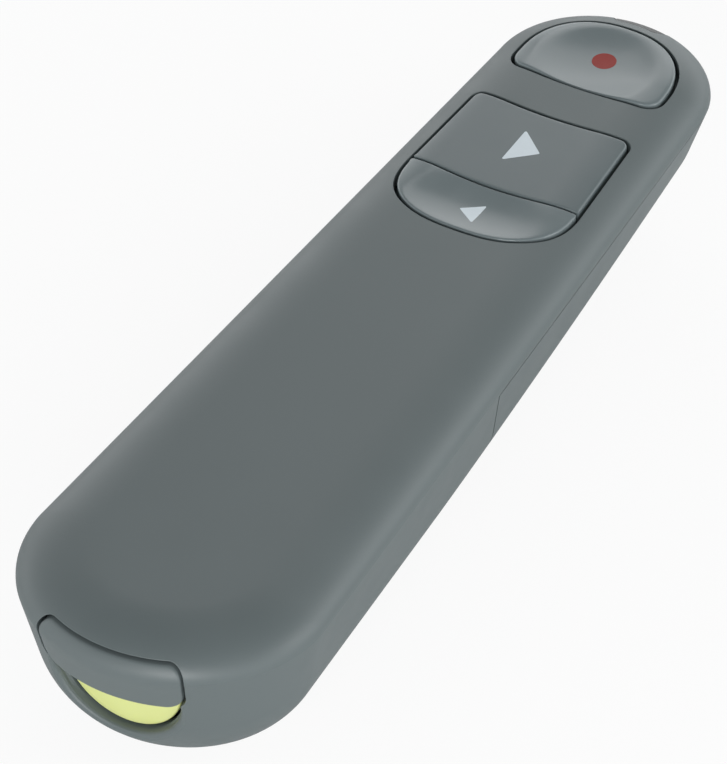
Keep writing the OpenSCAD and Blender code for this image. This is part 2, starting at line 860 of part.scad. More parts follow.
// A front plate with a tab that rises through the tray and a foot soldered to the board
module front_contact(x, y) {
    color("silver") {
        translate([x - plate_w / 2, y, cell_z - plate_w / 2]) cube([plate_w, plate_t, plate_w]);
        translate([x - tab_w / 2, y, cell_z]) cube([tab_w, plate_t, board_top + plate_t - cell_z]);
        translate([x - tab_w / 2, y, board_top]) cube([tab_w, board_rear + foot_len - y, plate_t]);
    }
}

module front_contact_plus() {
    front_contact(CONTACTS[0][0], CONTACTS[0][1]);
}

module front_contact_minus() {
    front_contact(CONTACTS[1][0], CONTACTS[1][1]);
}

// A conical compression spring along Y, swept from rings of eight points
module coil_spring(x, y0, y1, r0, r1, turns) {
    steps = 14 * turns;
    w = wire_d / 2;
    points = [for (i = [0 : steps]) for (k = [0 : 7])
        let (
            t = i / steps,
            a = 360 * turns * t,
            b = 45 * k,
            r = lerp(r0, r1, t) + w * cos(b)
        )
        [x + r * cos(a), lerp(y0 + w, y1 - w, t) + w * sin(b), cell_z + r * sin(a)]];
    skin_faces = [for (i = [0 : steps - 1]) for (k = [0 : 7])
        let (j = (k + 1) % 8)
        [8 * i + k, 8 * i + 8 + k, 8 * i + 8 + j, 8 * i + j]];
    ends = [[for (k = [0 : 7]) k], [for (k = [7 : -1 : 0]) 8 * steps + k]];
    color("silver") polyhedron(points, concat(skin_faces, ends), convexity = 8);
}

module tail_spring() {
    coil_spring(-cell_x, tail_plate_y + plate_t, cell_y0, spring_wide_r, spring_narrow_r, 4);
}

module front_spring() {
    coil_spring(cell_x, cell_y1, minus_plate_y, spring_narrow_r, spring_wide_r, 3);
}

module casing_screws() {
    color("silver") for (s = SCREWS) {
        z = seat_z(s);
        difference() {
            union() {
                translate([s[0], s[1], z - screw_head_h]) cylinder(h = screw_head_h, d = screw_head_d);
                translate([s[0], s[1], z - eps]) cylinder(h = board_top + screw_grip - z, d = screw_d);
            }
            for (a = [0, 90]) translate([s[0], s[1], z - screw_head_h]) rotate([0, 0, a])
                cube([screw_head_d * 0.6, recess_w, screw_head_h], center = true);
        }
    }
}

module receiver_cap() {
    color("slategray") intersection() {
        form();
        end_view(tail_y - 1, cap_y) cap_profile();
    }
}

module receiver_body() {
    hollow_x = receiver_half_w - receiver_wall;
    receiver_h = receiver_top - receiver_z;
    color("yellowgreen") difference() {
        union() {
            end_view(cap_y, receiver_y1) rounded(receiver_corner)
                translate([-receiver_half_w, receiver_z]) square([2 * receiver_half_w, receiver_h]);
            end_view(cap_y, cap_y + lip_t) lip_profile();
        }
        translate([-hollow_x, cap_y + receiver_wall, receiver_z + receiver_wall])
            cube([2 * hollow_x, receiver_len - 2 * receiver_wall, receiver_h - 2 * receiver_wall]);
        translate([-usb_w / 2, receiver_y1 - usb_root, usb_z - usb_h / 2]) cube([usb_w, far, usb_h]);
    }
}

receiver_board_t = 0.8;
receiver_chip_w = 5;
receiver_chip_h = 0.9;
usb_root = 3;
latch_x = 2.9;
latch_w = 2.5;
latch_len = 2;
latch_back = 7.4;
tongue_t = 1.9;
tongue_back = 0.5;
pad_w = 1;
pad_len = 8;
pad_t = 0.15;
PADS_X = [-3.5, -1, 1, 3.5];

module receiver_board() {
    half_w = receiver_half_w - receiver_wall;
    y0 = cap_y + receiver_wall;
    color("darkgreen") translate([-half_w, y0, usb_z - receiver_board_t])
        cube([2 * half_w, receiver_y1 - usb_root - board_gap - y0, receiver_board_t]);
}

module receiver_chip() {
    middle = (cap_y + receiver_y1 - usb_root) / 2;
    color("black") translate([-receiver_chip_w / 2, middle - receiver_chip_w / 2, usb_z])
        cube([receiver_chip_w, receiver_chip_w, receiver_chip_h]);
}

module usb_shell() {
    y0 = receiver_y1 - usb_root;
    color("silver") difference() {
        translate([-usb_w / 2, y0, usb_z - usb_h / 2]) cube([usb_w, usb_root + usb_len, usb_h]);
        translate([-usb_w / 2 + usb_sheet, y0 + usb_sheet, usb_z - usb_h / 2 + usb_sheet])
            cube([usb_w - 2 * usb_sheet, far, usb_h - 2 * usb_sheet]);
        for (x = [-latch_x, latch_x]) translate([x - latch_w / 2, usb_y1 - latch_back, usb_z])
            cube([latch_w, latch_len, usb_h]);
    }
}

module usb_tongue() {
    y0 = receiver_y1 - usb_root + usb_sheet;
    color("whitesmoke") translate([-usb_w / 2 + usb_sheet, y0, usb_z - usb_h / 2 + usb_sheet])
        cube([usb_w - 2 * usb_sheet, usb_y1 - y0 - tongue_back, tongue_t]);
}

module usb_contacts() {
    top = usb_z - usb_h / 2 + usb_sheet + tongue_t;
    color("gold") for (x = PADS_X) translate([x - pad_w / 2, usb_y1 - 2 * tongue_back - pad_len, top])
        cube([pad_w, pad_len, pad_t]);
}

top_shell();
bottom_shell();
battery_door();
nose_window();
laser_key();
forward_key();
back_key();
stem(laser_press_y);  // laser_stem
stem(forward_press_y);  // forward_stem
stem(back_press_y);  // back_stem
main_board();
tact_switch(laser_press_y);  // laser_switch
tact_switch(forward_press_y);  // forward_switch
tact_switch(back_press_y);  // back_switch
controller_chip();
radio_module();
clock_crystal();
chip_parts();
laser_barrel();
laser_diode();
laser_lens();
battery_tray();
battery_left();
battery_right();
tail_contact();
front_contact_plus();
front_contact_minus();
tail_spring();
front_spring();
casing_screws();
receiver_cap();
receiver_body();
receiver_board();
receiver_chip();
usb_shell();
usb_tongue();
usb_contacts();
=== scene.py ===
"""Looks for a wireless presentation clicker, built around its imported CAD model.

Sizes are in millimetres until a mesh is made. +Y is the nose, -Y the tail, +Z up.
"""

import math

import bmesh
import bpy
import numpy as np
from mathutils import Matrix, Vector


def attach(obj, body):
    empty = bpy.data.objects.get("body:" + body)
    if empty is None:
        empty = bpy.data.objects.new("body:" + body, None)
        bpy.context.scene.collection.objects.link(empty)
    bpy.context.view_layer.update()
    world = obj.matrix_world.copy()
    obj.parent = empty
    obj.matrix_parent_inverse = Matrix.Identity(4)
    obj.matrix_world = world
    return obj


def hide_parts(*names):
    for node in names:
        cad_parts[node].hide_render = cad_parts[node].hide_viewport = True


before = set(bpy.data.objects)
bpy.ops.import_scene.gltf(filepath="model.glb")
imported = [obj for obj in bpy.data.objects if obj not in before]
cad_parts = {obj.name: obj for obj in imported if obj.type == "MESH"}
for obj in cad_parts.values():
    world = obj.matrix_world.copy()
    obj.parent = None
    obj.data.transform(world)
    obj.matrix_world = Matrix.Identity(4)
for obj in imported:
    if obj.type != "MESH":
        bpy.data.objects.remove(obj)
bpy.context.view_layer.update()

MM = 0.001

# ---------------------------------------------------------------- sizes of the casing
BODY_LEN = 127.0
TAIL_W = 36.6
NOSE_W = 27.6
TAIL_ROUND = 16.7
NOSE_ROUND = 12.4
BODY_H = 21.7
CREASE_Z = 17.6
CROWN_IN = 8.2
BELLY_R = 11.6
SIDE_LEAN = math.radians(11.7)
NOSE_LIFT = 4.0
LIFT_POWER = 1.5
WALL = 1.6
PARTING_Z = 17.2
SEAM = 0.2
SPLIT_Y = -3.4
SPLIT_LEAN = 0.2
NOSE_Y = BODY_LEN / 2
TAIL_Y = -BODY_LEN / 2
LIFT_Y = TAIL_Y + 49.5
# How far in from the outline the middle of the belly's rounding lies
BELLY_IN = (BELLY_R * math.cos(SIDE_LEAN)
            + (CREASE_Z - BELLY_R + BELLY_R * math.sin(SIDE_LEAN)) * math.tan(SIDE_LEAN))
# An inset so large that no point of the casing has it
OUTSIDE = 99
# The smooth casing shows an edge as crisp from this angle on, and other pieces from the second
CASING_CRISP = 14.5
CRISP = 32

# Keys, and the radius of the rounded rims round their openings
RIM_R = 0.12
EDGE_R = 0.28
KEY_GAP = 0.45
KEY_RISE = 0.18
KEY_HOOK = 0.5
KEY_WELL_Z = 16
FLANGE_Z = 18.11
FLANGE_T = 0.75
POST_R = 1.5
POST_Z = 17.91
EDGE_ARC_R = 58.0
LASER_Y = 49.0
LASER_HALF_W = 10.05
LASER_ROUND = 10.0
LASER_FULLNESS = 2.3
LASER_LOW_Y = 45.45
LASER_CORNER = 2.5
NAV_TOP_Y = 38.85
NAV_MID_Y = 24.5
NAV_HALF_TOP = 10.45
NAV_HALF_MID = 11.3
NAV_ROUND = 9.1
NAV_FULLNESS = 2.55
NAV_CORNER = 1.1
DIVIDE_Y = 23.95
# The two slide keys lie closer to each other than to the casing
DIVIDE_SHUT = 0.06
DIVIDE_EDGE = 0.1
DIVIDE_CORNER = 0.5
# How far from the middle an arc is drawn, to be sure to cross the side that ends it
KEY_ARC_REACH = 12
DIVIDE_REACH = 13
PRESS_Y = {"laser": 47.65, "forward": 31.4, "back": 19.675}
# A fingertip's dish: its middle's place, its depth, its rim's radius, and its width by length
LASER_DISH = (LASER_Y + 2.8, 0.9, 8, 1.0)
BACK_DISH = (PRESS_Y["back"], 0.45, 4.3, 2.1)
# How gently a dish begins at a key's face
DISH_EASE = 0.25
DISH_SHARE = 0.999

# Ink on the keys
INK_EDGE = 0.015
INK_RISE = 0.02
INK_T = 0.06
DOT_R = 1.5
DOT_AT = (0.1, LASER_Y + 3.25)

# Receiver
CAP_Y = -58.9
CAP_TOP = 19.55
CAP_BEND_Z = CREASE_Z - 0.4
CAP_LOW_Z = 13.4
CAP_HALF_W = 9.0
CAP_CORNER = 1.9
CAP_LOW_HALF_W = 8.7
CAP_LOW_CORNER = 2.0
CAP_EDGE = 0.16
CAP_DROP = 0.03
CAP_BRIDGE = 1.3
LIP_R = 7.45
LIP_GAP = 0.35
LIP_MID_Z = 13.6
LIP_T = 2.0
LIP_EDGE = 0.25
SCOOP_FLARE = 0.3
SCOOP_RIM_R = 9.4
SCOOP_BACK_Y = -56
# The scoop's edge gets softer from this height down
SCOOP_SOFT_Z = LIP_MID_Z + 0.6
SCOOP_SOFT_RUN = 4
SCOOP_EDGE = 0.4
SCOOP_SOFTER = 0.8
RECEIVER_Z = 13.3
RECEIVER_TOP = 19.5
RECEIVER_HALF_W = 8.7
RECEIVER_CORNER = 2
RECEIVER_EDGE = 0.4
RECEIVER_Y1 = -41.0
RECEIVER_GAP = 0.35
RECEIVER_RIM_R = 0.1
BAY_Y = -47.3
# The hole for the plug's shell in the receiver's front: half width, foot, top and depth
SOCKET = (6.0, 14.1, 18.6, 3)

# Door, cells and screws
CELL_X = 5.55
CELL_Z = 7.15
CELL_Y0 = -50.2
CELL_Y1 = -5.7
POCKET_R = 5.45
SPRING_ROOM = 4.2
DOOR_Y0 = -51.5
DOOR_Y1 = -4.0
DOOR_HALF_W = 12.2
DOOR_CORNER = 2
DOOR_GAP = 0.2
DOOR_EDGE = 0.2
DOOR_WELL_Z = CELL_Z + 0.5
# The ball that hollows the place for a fingernail
NAIL_BALL = (0, DOOR_Y1 + 2.4, -3.1)
NAIL_R = 4
BOARD_TOP = 14.01
BOSS_TOP = 20.4
BOSS_R = 2.2
PILOT_R = 1.1
PILOT_DEPTH = 3.6
COLUMN_R = 2.8
HEAD_R = 2.0
# Each screw's place, the level of its head's seat and the top of its column
SCREWS = [(side * x, y, seat, top) for x, y, seat, top in ((10.2, 1.9, 7.5, 12.0), (8.2, 42.73, 9.3, 13.0))
          for side in (1, -1)]

# Nose: window, and the ribs and bore that hold the laser barrel
WINDOW_HALF_W = 3.4
WINDOW_Z0 = 12.3
WINDOW_Z1 = 20.5
WINDOW_CORNER = 1.2
WINDOW_GAP = 0.15
WINDOW_RIM_R = 0.18
WINDOW_EDGE = 0.2
WINDOW_T = 1.3
WINDOW_DROP = 0.08
WINDOW_WELL_Y = 58.5
BARREL_Z = 14.31
BORE_R = 3.05
BORE_Y0 = 50.3
BORE_Y1 = 60.2
RIB_HALF_W = 4
RIB_T = 1.2
RIB_YS = (52.3, 57.5)


# ---------------------------------------------------------------- the casing's form
def lerp(a, b, t):
    return a + (b - a) * t


def drawn_in(inset):
    """The outline's half widths, end rounds and ends, all drawn in by an inset."""
    tail_w, nose_w = TAIL_W / 2 - inset, NOSE_W / 2 - inset
    tail_r = TAIL_ROUND * tail_w / (TAIL_W / 2)
    nose_r = NOSE_ROUND * nose_w / (NOSE_W / 2)
    return tail_w, nose_w, tail_r, nose_r, TAIL_Y + inset, NOSE_Y - inset


def outline_half_width(y, inset):
    """Half width of the outline, drawn in by an inset, at the place y; below zero outside it."""
    tail_w, nose_w, tail_r, nose_r, y0, y1 = drawn_in(inset)
    tail_t = np.clip((y0 + tail_r - y) / tail_r, 0, 1)
    nose_t = np.clip((y - y1 + nose_r) / nose_r, 0, 1)
    side_t = np.clip((y - y0 - tail_r) / (y1 - nose_r - y0 - tail_r), 0, 1)
    width = lerp(tail_w, nose_w, side_t) * np.sqrt((1 - tail_t**2) * (1 - nose_t**2))
    return np.where((y < y0) | (y > y1), -1, width)


def lift(y):
    """How far the underside has risen at a place on its way to the nose."""
    return NOSE_LIFT * (np.maximum(y - LIFT_Y, 0) / (NOSE_Y - LIFT_Y)) ** LIFT_POWER


def lean_at(y):
    """The side's lean from upright, where it runs from the crease into the belly's rounding."""
    h = CREASE_Z - BELLY_R - lift(y)
    return math.pi / 2 - np.arctan2(h, BELLY_IN) - np.arcsin(BELLY_R / np.hypot(BELLY_IN, h))


def section_inset(y, z):
    """How far the casing is drawn in from its outline at a place and height."""
    lean = lean_at(y)
    middle = lift(y) + BELLY_R
    foot = middle - BELLY_R * np.sin(lean)
    belly = BELLY_IN - np.sqrt(np.maximum(BELLY_R**2 - (middle - z) ** 2, 0))
    side = (BELLY_IN - BELLY_R * np.cos(lean)) * (CREASE_Z - z) / (CREASE_Z - foot)
    rise = np.clip((z - CREASE_Z) / (BODY_H - CREASE_Z), 0, 1)
    crown = CROWN_IN * (1 - np.sqrt(1 - rise**2))
    inset = np.where(z < foot, belly, np.where(z < CREASE_Z, side, crown))
    return np.where((middle - z > BELLY_R) | (z > BODY_H), OUTSIDE, inset)


def inside_casing(points):
    x, y, z = points.T
    return np.abs(x) <= outline_half_width(y, section_inset(y, z))


# A face that is seen square on: the axes across it, the axis out of it, which way is
# outward, a start inside the casing for the search for its skin, and an end well outside
VIEWS = {
    "top": (0, 1, 2, 1, 15.0, 25.0),
    "bottom": (0, 1, 2, -1, 14.0, -3.0),
    "tail": (0, 2, 1, -1, -45.0, -66.0),
    "nose": (0, 2, 1, 1, 45.0, 66.0),
}
HALVINGS = 30


def on_skin(view, flat, depth=0.0):
    """Points of the casing's skin under flat points of a view, sunk inward by a depth."""
    u, v, w, out, start, end = VIEWS[view]
    flat = np.asarray(flat, float)
    inner = np.zeros((len(flat), 3))
    inner[:, u], inner[:, v], inner[:, w] = flat[:, 0], flat[:, 1], start
    outer = inner.copy()
    outer[:, w] = end
    for _ in range(HALVINGS):
        middle = (inner + outer) / 2
        hit = inside_casing(middle)[:, None]
        inner, outer = np.where(hit, middle, inner), np.where(hit, outer, middle)
    inner[:, w] -= out * np.asarray(depth)
    return inner


def at_depth(view, flat, w_value):
    """Flat points of a view as points in space, all at one level of the axis out of it."""
    u, v, w = VIEWS[view][:3]
    points = np.zeros((len(flat), 3))
    points[:, u], points[:, v], points[:, w] = flat[:, 0], flat[:, 1], w_value
    return points


# ---------------------------------------------------------------- flat outlines
def join_with_round(first, second, r):
    """Two chains that turn right where they meet, joined there by an arc of radius r.

    Each runs a little past the corner, and the arc takes the place of what lies beyond it.
    """
    def inward(chain):
        step = np.gradient(chain, axis=0)
        step /= np.linalg.norm(step, axis=1)[:, None]
        return chain + r * np.stack([step[:, 1], -step[:, 0]], 1)

    a, b = inward(first), inward(second)
    gaps = np.linalg.norm(a[:, None] - b[None], axis=2)
    i, j = np.unravel_index(gaps.argmin(), gaps.shape)
    centre = (a[i] + b[j]) / 2
    p, q = first[i] - centre, second[j] - centre
    start, end = math.atan2(p[1], p[0]), math.atan2(q[1], q[0])
    while end > start:
        end -= 2 * math.pi
    angles = np.linspace(start, end, 24)[1:-1]
    arc = centre + r * np.stack([np.cos(angles), np.sin(angles)], 1)
    return np.concatenate([first[: i + 1], arc, second[j:]])


def line(start, end, n=400):
    return lerp(np.array(start, float), np.array(end, float), np.linspace(0, 1, n)[:, None])


def evenly(path, n):
    """Evenly spaced points along a path that ends where it starts."""
    run = np.concatenate([[0], np.cumsum(np.linalg.norm(np.diff(path, axis=0), axis=1))])
    places = np.linspace(0, run[-1], n, endpoint=False)
    return np.stack([np.interp(places, run, path[:, k]) for k in (0, 1)], 1)


def closed(right_half, n=240):
    """A loop from its right half, listed clockwise from top to bottom, with even spacing."""
    loop = np.concatenate([right_half, right_half[::-1] * [-1, 1]])
    loop = np.concatenate([loop, loop[:1]])
    steps = np.linalg.norm(np.diff(loop, axis=0), axis=1)
    return evenly(np.concatenate([loop[:1], loop[1:][steps > 1e-9]]), n)


def grown(loop, distance):
    """A clockwise loop with each point moved outward; the distance may differ from point to point."""
    along = np.roll(loop, -1, 0) - np.roll(loop, 1, 0)
    along /= np.linalg.norm(along, axis=1)[:, None]
    return loop + np.stack([-along[:, 1], along[:, 0]], 1) * np.reshape(distance, (-1, 1))


def arc_y(y, x):
    """Where the shallow arc that crosses the middle at y lies at x."""
    return y + EDGE_ARC_R - np.sqrt(EDGE_ARC_R**2 - x**2)


def shallow_arc(y, half_w, n=400):
    """The arc that bounds a key, from the middle to its right end."""
    x = np.linspace(0, half_w, n)
    return np.stack([x, arc_y(y, x)], 1)


def quarter_oval(half_w, reach, fullness, n=500):
    """A quarter of an oval from its side to its end, fuller than an ellipse above 2."""
    a = np.linspace(0, math.pi / 2, n)
    return np.stack([half_w * np.cos(a) ** (2 / fullness), reach * np.sin(a) ** (2 / fullness)], 1)


def laser_outline():
    top = quarter_oval(LASER_HALF_W, LASER_ROUND, LASER_FULLNESS)[::-1] + [0, LASER_Y]
    side = line((LASER_HALF_W, LASER_Y), (LASER_HALF_W, LASER_LOW_Y - 1), 200)[1:]
    foot = shallow_arc(LASER_LOW_Y, KEY_ARC_REACH)[::-1]
    return closed(join_with_round(np.concatenate([top, side]), foot, LASER_CORNER))


def nav_side():
    """The right side of the opening for the forward and back keys, from its top corner down."""
    low = quarter_oval(NAV_HALF_MID, -NAV_ROUND, NAV_FULLNESS) + [0, NAV_MID_Y]
    return np.concatenate([line((NAV_HALF_TOP, NAV_TOP_Y + 1.2), low[0])[:-1], low])


def nav_half():
    """The right half of that opening."""
    return join_with_round(shallow_arc(NAV_TOP_Y, KEY_ARC_REACH), nav_side(), NAV_CORNER)


def forward_outline():
    half = nav_half()
    half = half[half[:, 1] > DIVIDE_Y - 2]
    foot = shallow_arc(DIVIDE_Y - DIVIDE_SHUT, DIVIDE_REACH)[::-1]
    return closed(join_with_round(half, foot, DIVIDE_CORNER), 320)


def back_outline():
    top = shallow_arc(DIVIDE_Y + DIVIDE_SHUT, DIVIDE_REACH)
    return closed(join_with_round(top, nav_side(), DIVIDE_CORNER), 320)


def box_outline(half_w, low, high, r, n=240):
    """A box seen square on, with rounded corners."""
    middle, past = (low + high) / 2, half_w + 1
    top = join_with_round(line((0, high), (past, high)), line((half_w, high + 1), (half_w, middle)), r)
    foot = join_with_round(line((half_w, middle), (half_w, low - 1)), line((past, low), (0, low)), r)
    return closed(np.concatenate([top, foot[1:]]), n)


def cap_outline():
    """The receiver's cap seen square on: its sides draw in below the crease to meet the scoop."""
    bend, low = (CAP_HALF_W, CAP_BEND_Z), (CAP_LOW_HALF_W, CAP_LOW_Z)
    past = CAP_HALF_W + 1
    upper_side = line((CAP_HALF_W, CAP_TOP + 1), bend)
    lower_side = line(bend, lerp(np.array(bend), np.array(low), 1.25))
    top = join_with_round(line((0, CAP_TOP), (past, CAP_TOP)), upper_side, CAP_CORNER)
    foot = join_with_round(lower_side, line((past, CAP_LOW_Z), (0, CAP_LOW_Z)), CAP_LOW_CORNER)
    return closed(np.concatenate([top, foot[1:]]), 400)


def lower_half_disc(r):
    """The lower half of a disc about the middle of the grip lip."""
    a = np.linspace(0, -math.pi / 2, 300)
    curve = np.stack([r * np.cos(a), LIP_MID_Z + r * np.sin(a)], 1)
    return closed(np.concatenate([line((0, LIP_MID_Z), (r, LIP_MID_Z))[:-1], curve]), 400)


def flared(loop, y):
    """The scoop's outline at a place behind the lip: wider outward, and level at its foot."""
    r = LIP_R + LIP_GAP
    foot = np.array([0, LIP_MID_Z - r])
    return foot + (loop - foot) * (1 + SCOOP_FLARE * np.maximum(CAP_Y - y, 0) / r)[:, None]


def disc(centre, r, n=96):
    """A clockwise loop round a middle."""
    a = np.linspace(0, 2 * math.pi, n, endpoint=False)
    return r * np.stack([np.sin(a), np.cos(a)], 1) + centre


def unit(vector):
    return vector / np.linalg.norm(vector)


def triangle(corners, r, n=96):
    """An even loop round a triangle, with corners of radius r."""
    corners = [np.array(c, float) for c in corners]
    path = []
    for k, c in enumerate(corners):
        to_before, to_after = unit(corners[k - 1] - c), unit(corners[(k + 1) % 3] - c)
        half_angle = math.acos(float(to_before @ to_after)) / 2
        reach = r / math.tan(half_angle)
        centre = c + unit(to_before + to_after) * r / math.sin(half_angle)
        start, end = c + to_before * reach - centre, c + to_after * reach - centre
        for t in np.linspace(0, 1, 6):
            p = lerp(start, end, t)
            path.append(centre + p * r / np.linalg.norm(p))
    return evenly(np.array(path + path[:1]), n)


# ---------------------------------------------------------------- meshes
def make_piece(name, points, faces):
    """A mesh object from points in millimetres."""
    mesh = bpy.data.meshes.new(name)
    mesh.from_pydata([tuple(p) for p in np.asarray(points) * MM], [], faces)
    mesh.validate()
    mesh.update()
    obj = bpy.data.objects.new(name, mesh)
    bpy.context.scene.collection.objects.link(obj)
    return obj


def outward_faces(obj):
    """Turns a closed mesh's faces outward."""
    bm = bmesh.new()
    bm.from_mesh(obj.data)
    if bm.calc_volume(signed=True) < 0:
        bmesh.ops.reverse_faces(bm, faces=bm.faces)
        bm.to_mesh(obj.data)
    bm.free()
    return obj


def bands(rings):
    """The faces that join each ring to the next, and the number of the last ring's first point."""
    n = len(rings[0])
    faces = []
    for k in range(len(rings) - 1):
        for i in range(n):
            j = (i + 1) % n
            faces.append((k * n + i, k * n + j, (k + 1) * n + j, (k + 1) * n + i))
    return faces, (len(rings) - 1) * n


def loft(name, rings):
    """A closed solid through rings of equal length, each end closed by a fan to its middle."""
    n = len(rings[0])
    points = np.concatenate([*rings, rings[0].mean(0)[None], rings[-1].mean(0)[None]])
    first, last = len(points) - 2, len(points) - 1
    faces, t = bands(rings)
    faces += [(first, (i + 1) % n, i) for i in range(n)]
    faces += [(last, t + i, t + (i + 1) % n) for i in range(n)]
    return outward_faces(make_piece(name, points, faces))


def level_surface(flat):
    return 0.0


def plug(name, view, loop, edge_r, back, drop=0.0, sink=level_surface, foot=(), follow=False):
    """A solid whose face follows the casing's skin, with a rounded edge.

    The face lies a drop under the skin, and deeper by what sink gives. foot lists rings between
    the wall and the back, such as a flange, by their growth and level. The back is flat at a
    level, or with follow it lies that deep under the face.
    """
    middle = loop.mean(0)
    rings = []
    # The first ring is tiny, so that the fan that closes the face can't be seen
    for share in np.linspace(0.005, 1, 26)[:-1]:
        flat = lerp(middle, grown(loop, -edge_r), share)
        rings.append(on_skin(view, flat, drop + sink(flat)))
    for a in np.radians(np.linspace(0, 90, 8)):
        flat = grown(loop, -edge_r * (1 - math.sin(a)))
        rings.append(on_skin(view, flat, drop + sink(flat) + edge_r * (1 - math.cos(a))))
    for growth, level in foot:
        rings.append(at_depth(view, grown(loop, growth), level))
    if follow:
        for share in (1, 0.7, 0.4, 0.1):
            flat = lerp(middle, loop, share)
            rings.append(on_skin(view, flat, drop + sink(flat) + back))
    else:
        rings.append(at_depth(view, grown(loop, foot[-1][0] if foot else 0), back))
    return loft(name, rings)


def opening_cutter(view, loop, rim_r, back=None, inner=()):
    """A cutter for an opening in the casing, which leaves a rounded rim.

    It starts flat at the level back, or with the rings of inner.
    """
    rim_r = np.broadcast_to(rim_r, len(loop)).astype(float)
    rings = list(inner) or [at_depth(view, loop, back)]
    angles = np.radians([90, 75, 60, 45, 30, 17])
    for a in angles:
        rings.append(on_skin(view, grown(loop, rim_r * (1 - math.sin(a))), rim_r * (1 - math.cos(a))))
    # Past the rim it leaves the skin at the rim's last slant, and then goes straight out
    a, past = angles[-1], 0.6
    far_out = grown(loop, rim_r * (1 - math.sin(a)) + past)
    rings.append(on_skin(view, far_out, rim_r * (1 - math.cos(a)) - past * math.tan(a) - 0.1))
    rings.append(at_depth(view, far_out, VIEWS[view][5]))
    return loft("cutter", rings)


def casing_ring(inset, n_arc=40, n_side=60):
    """The outline of the casing, drawn in by an inset, as a closed loop from the tail tip."""
    tail_w, nose_w, tail_r, nose_r, y0, y1 = drawn_in(inset)
    a = np.radians(np.linspace(0, 90, n_arc + 1))
    tail = np.stack([tail_w * np.sin(a), y0 + tail_r * (1 - np.cos(a))], 1)
    side = line((tail_w, y0 + tail_r), (nose_w, y1 - nose_r), n_side + 1)[1:-1]
    nose = np.stack([nose_w * np.sin(a), y1 - nose_r * (1 - np.cos(a))], 1)[::-1]
    half = np.concatenate([tail, side, nose])
    return np.concatenate([half, half[-2:0:-1] * [-1, 1]])


def casing_form(name, thick=0.0):
    """The closed body of the casing, or its hollow when thick is the wall."""
    r = BELLY_R - thick
    outline = casing_ring(0)
    inward = casing_ring(1) - outline

    def belly(t, y):
        a = lerp(math.pi / 2, lean_at(y), t)
        return BELLY_IN - r * np.cos(a), BELLY_R - r * np.sin(a) + lift(y)

    def side(t, y):
        inset, z = belly(1, y)
        return lerp(inset, thick, t), lerp(z, CREASE_Z, t)

    def crown(t, y):
        a = t * math.pi / 2
        inset = thick + CROWN_IN * (1 - math.cos(a))
        return np.full_like(y, inset), np.full_like(y, lerp(CREASE_Z, BODY_H - thick, math.sin(a)))

    shares = [
        (belly, np.linspace(0, 1, 22)),
        (side, (0.2, 0.4, 0.6, 0.8, 0.93)),
        (crown, np.linspace(0, 1, 29)),
    ]
    rings = []
    for share, steps in shares:
        for t in steps:
            flat = outline
            # The ring's own place sets its inset, so it is found in a few steps
            for _ in range(5):
                inset, z = share(t, flat[:, 1])
                flat = outline + inset[:, None] * inward
            rings.append(np.insert(flat, 2, z, axis=1))
    faces, t = bands(rings)
    n = len(outline)
    for i in range(n // 2):
        strip = list(dict.fromkeys([i, i + 1, (n - i - 1) % n, (n - i) % n]))
        faces += [tuple(strip[::-1]), tuple(t + p for p in strip)]
    return outward_faces(make_piece(name, np.concatenate(rings), faces))


def prism(view, flat, low, high):
    """A straight-sided solid on a flat outline, between two levels."""
    return loft("prism", [at_depth(view, flat, low), at_depth(view, flat, high)])


def side_prism(corners):
    """A solid wider than the casing, on a convex outline seen from the side."""
    corners = np.array(corners, float)
    return loft("side", [np.insert(corners, 0, x, axis=1) for x in (-40, 40)])


def cylinder(centre, axis, r, start, end, n=48):
    """A round bar along an axis, about a middle that is given on the other two."""
    a = np.linspace(0, 2 * math.pi, n, endpoint=False)
    flat = np.stack([centre[0] + r * np.cos(a), centre[1] + r * np.sin(a)], 1)
    return loft("cylinder", [np.insert(flat, axis, level, axis=1) for level in (start, end)])


def ball(centre, r):
    bm = bmesh.new()
    bmesh.ops.create_uvsphere(bm, u_segments=64, v_segments=32, radius=r * MM)
    bmesh.ops.translate(bm, verts=bm.verts, vec=Vector(centre) * MM)
    mesh = bpy.data.meshes.new("ball")
    bm.to_mesh(mesh)
    bm.free()
    obj = bpy.data.objects.new("ball", mesh)
    bpy.context.scene.collection.objects.link(obj)
    return obj


def keep_changes(obj):
    """Makes what an object's modifiers do part of its mesh."""
    made = bpy.data.meshes.new_from_object(obj.evaluated_get(bpy.context.evaluated_depsgraph_get()))
    obj.modifiers.clear()
    obj.data = made
    return obj


def cut(obj, tool, how="DIFFERENCE"):
    """Cuts a closed solid with another one, or joins or intersects them."""
    change = obj.modifiers.new("cut", "BOOLEAN")
    change.object, change.operation, change.solver = tool, how, "MANIFOLD"
    keep_changes(obj).data.name = obj.name
    bpy.data.objects.remove(tool)
    return obj


def smooth(obj, angle=CRISP):
    """Shades a mesh smooth, with edges sharper than an angle kept crisp."""
    obj.data.shade_smooth()
    obj.data.set_sharp_from_angle(angle=math.radians(angle))
    weigh = obj.modifiers.new("weigh", "WEIGHTED_NORMAL")
    weigh.keep_sharp = True
    weigh.weight = 80
    return keep_changes(obj)


# ---------------------------------------------------------------- the casing's mouldings
def front_block(seam):
    """All that lies ahead of the side seam and under the parting line, drawn in by a seam."""
    low, top, far = -5, PARTING_Z - seam, 70
    return side_prism([
        (SPLIT_Y + seam + SPLIT_LEAN * (CREASE_Z - low), low),
        (SPLIT_Y + seam + SPLIT_LEAN * (CREASE_Z - top), top),
        (far, top),
        (far, low),
    ])


DOOR = box_outline(DOOR_HALF_W, DOOR_Y0, DOOR_Y1, DOOR_CORNER, 320)
WINDOW = box_outline(WINDOW_HALF_W, WINDOW_Z0, WINDOW_Z1, WINDOW_CORNER, 160)
CAP = cap_outline()
LASER = laser_outline()
NAV = closed(nav_half(), 320)


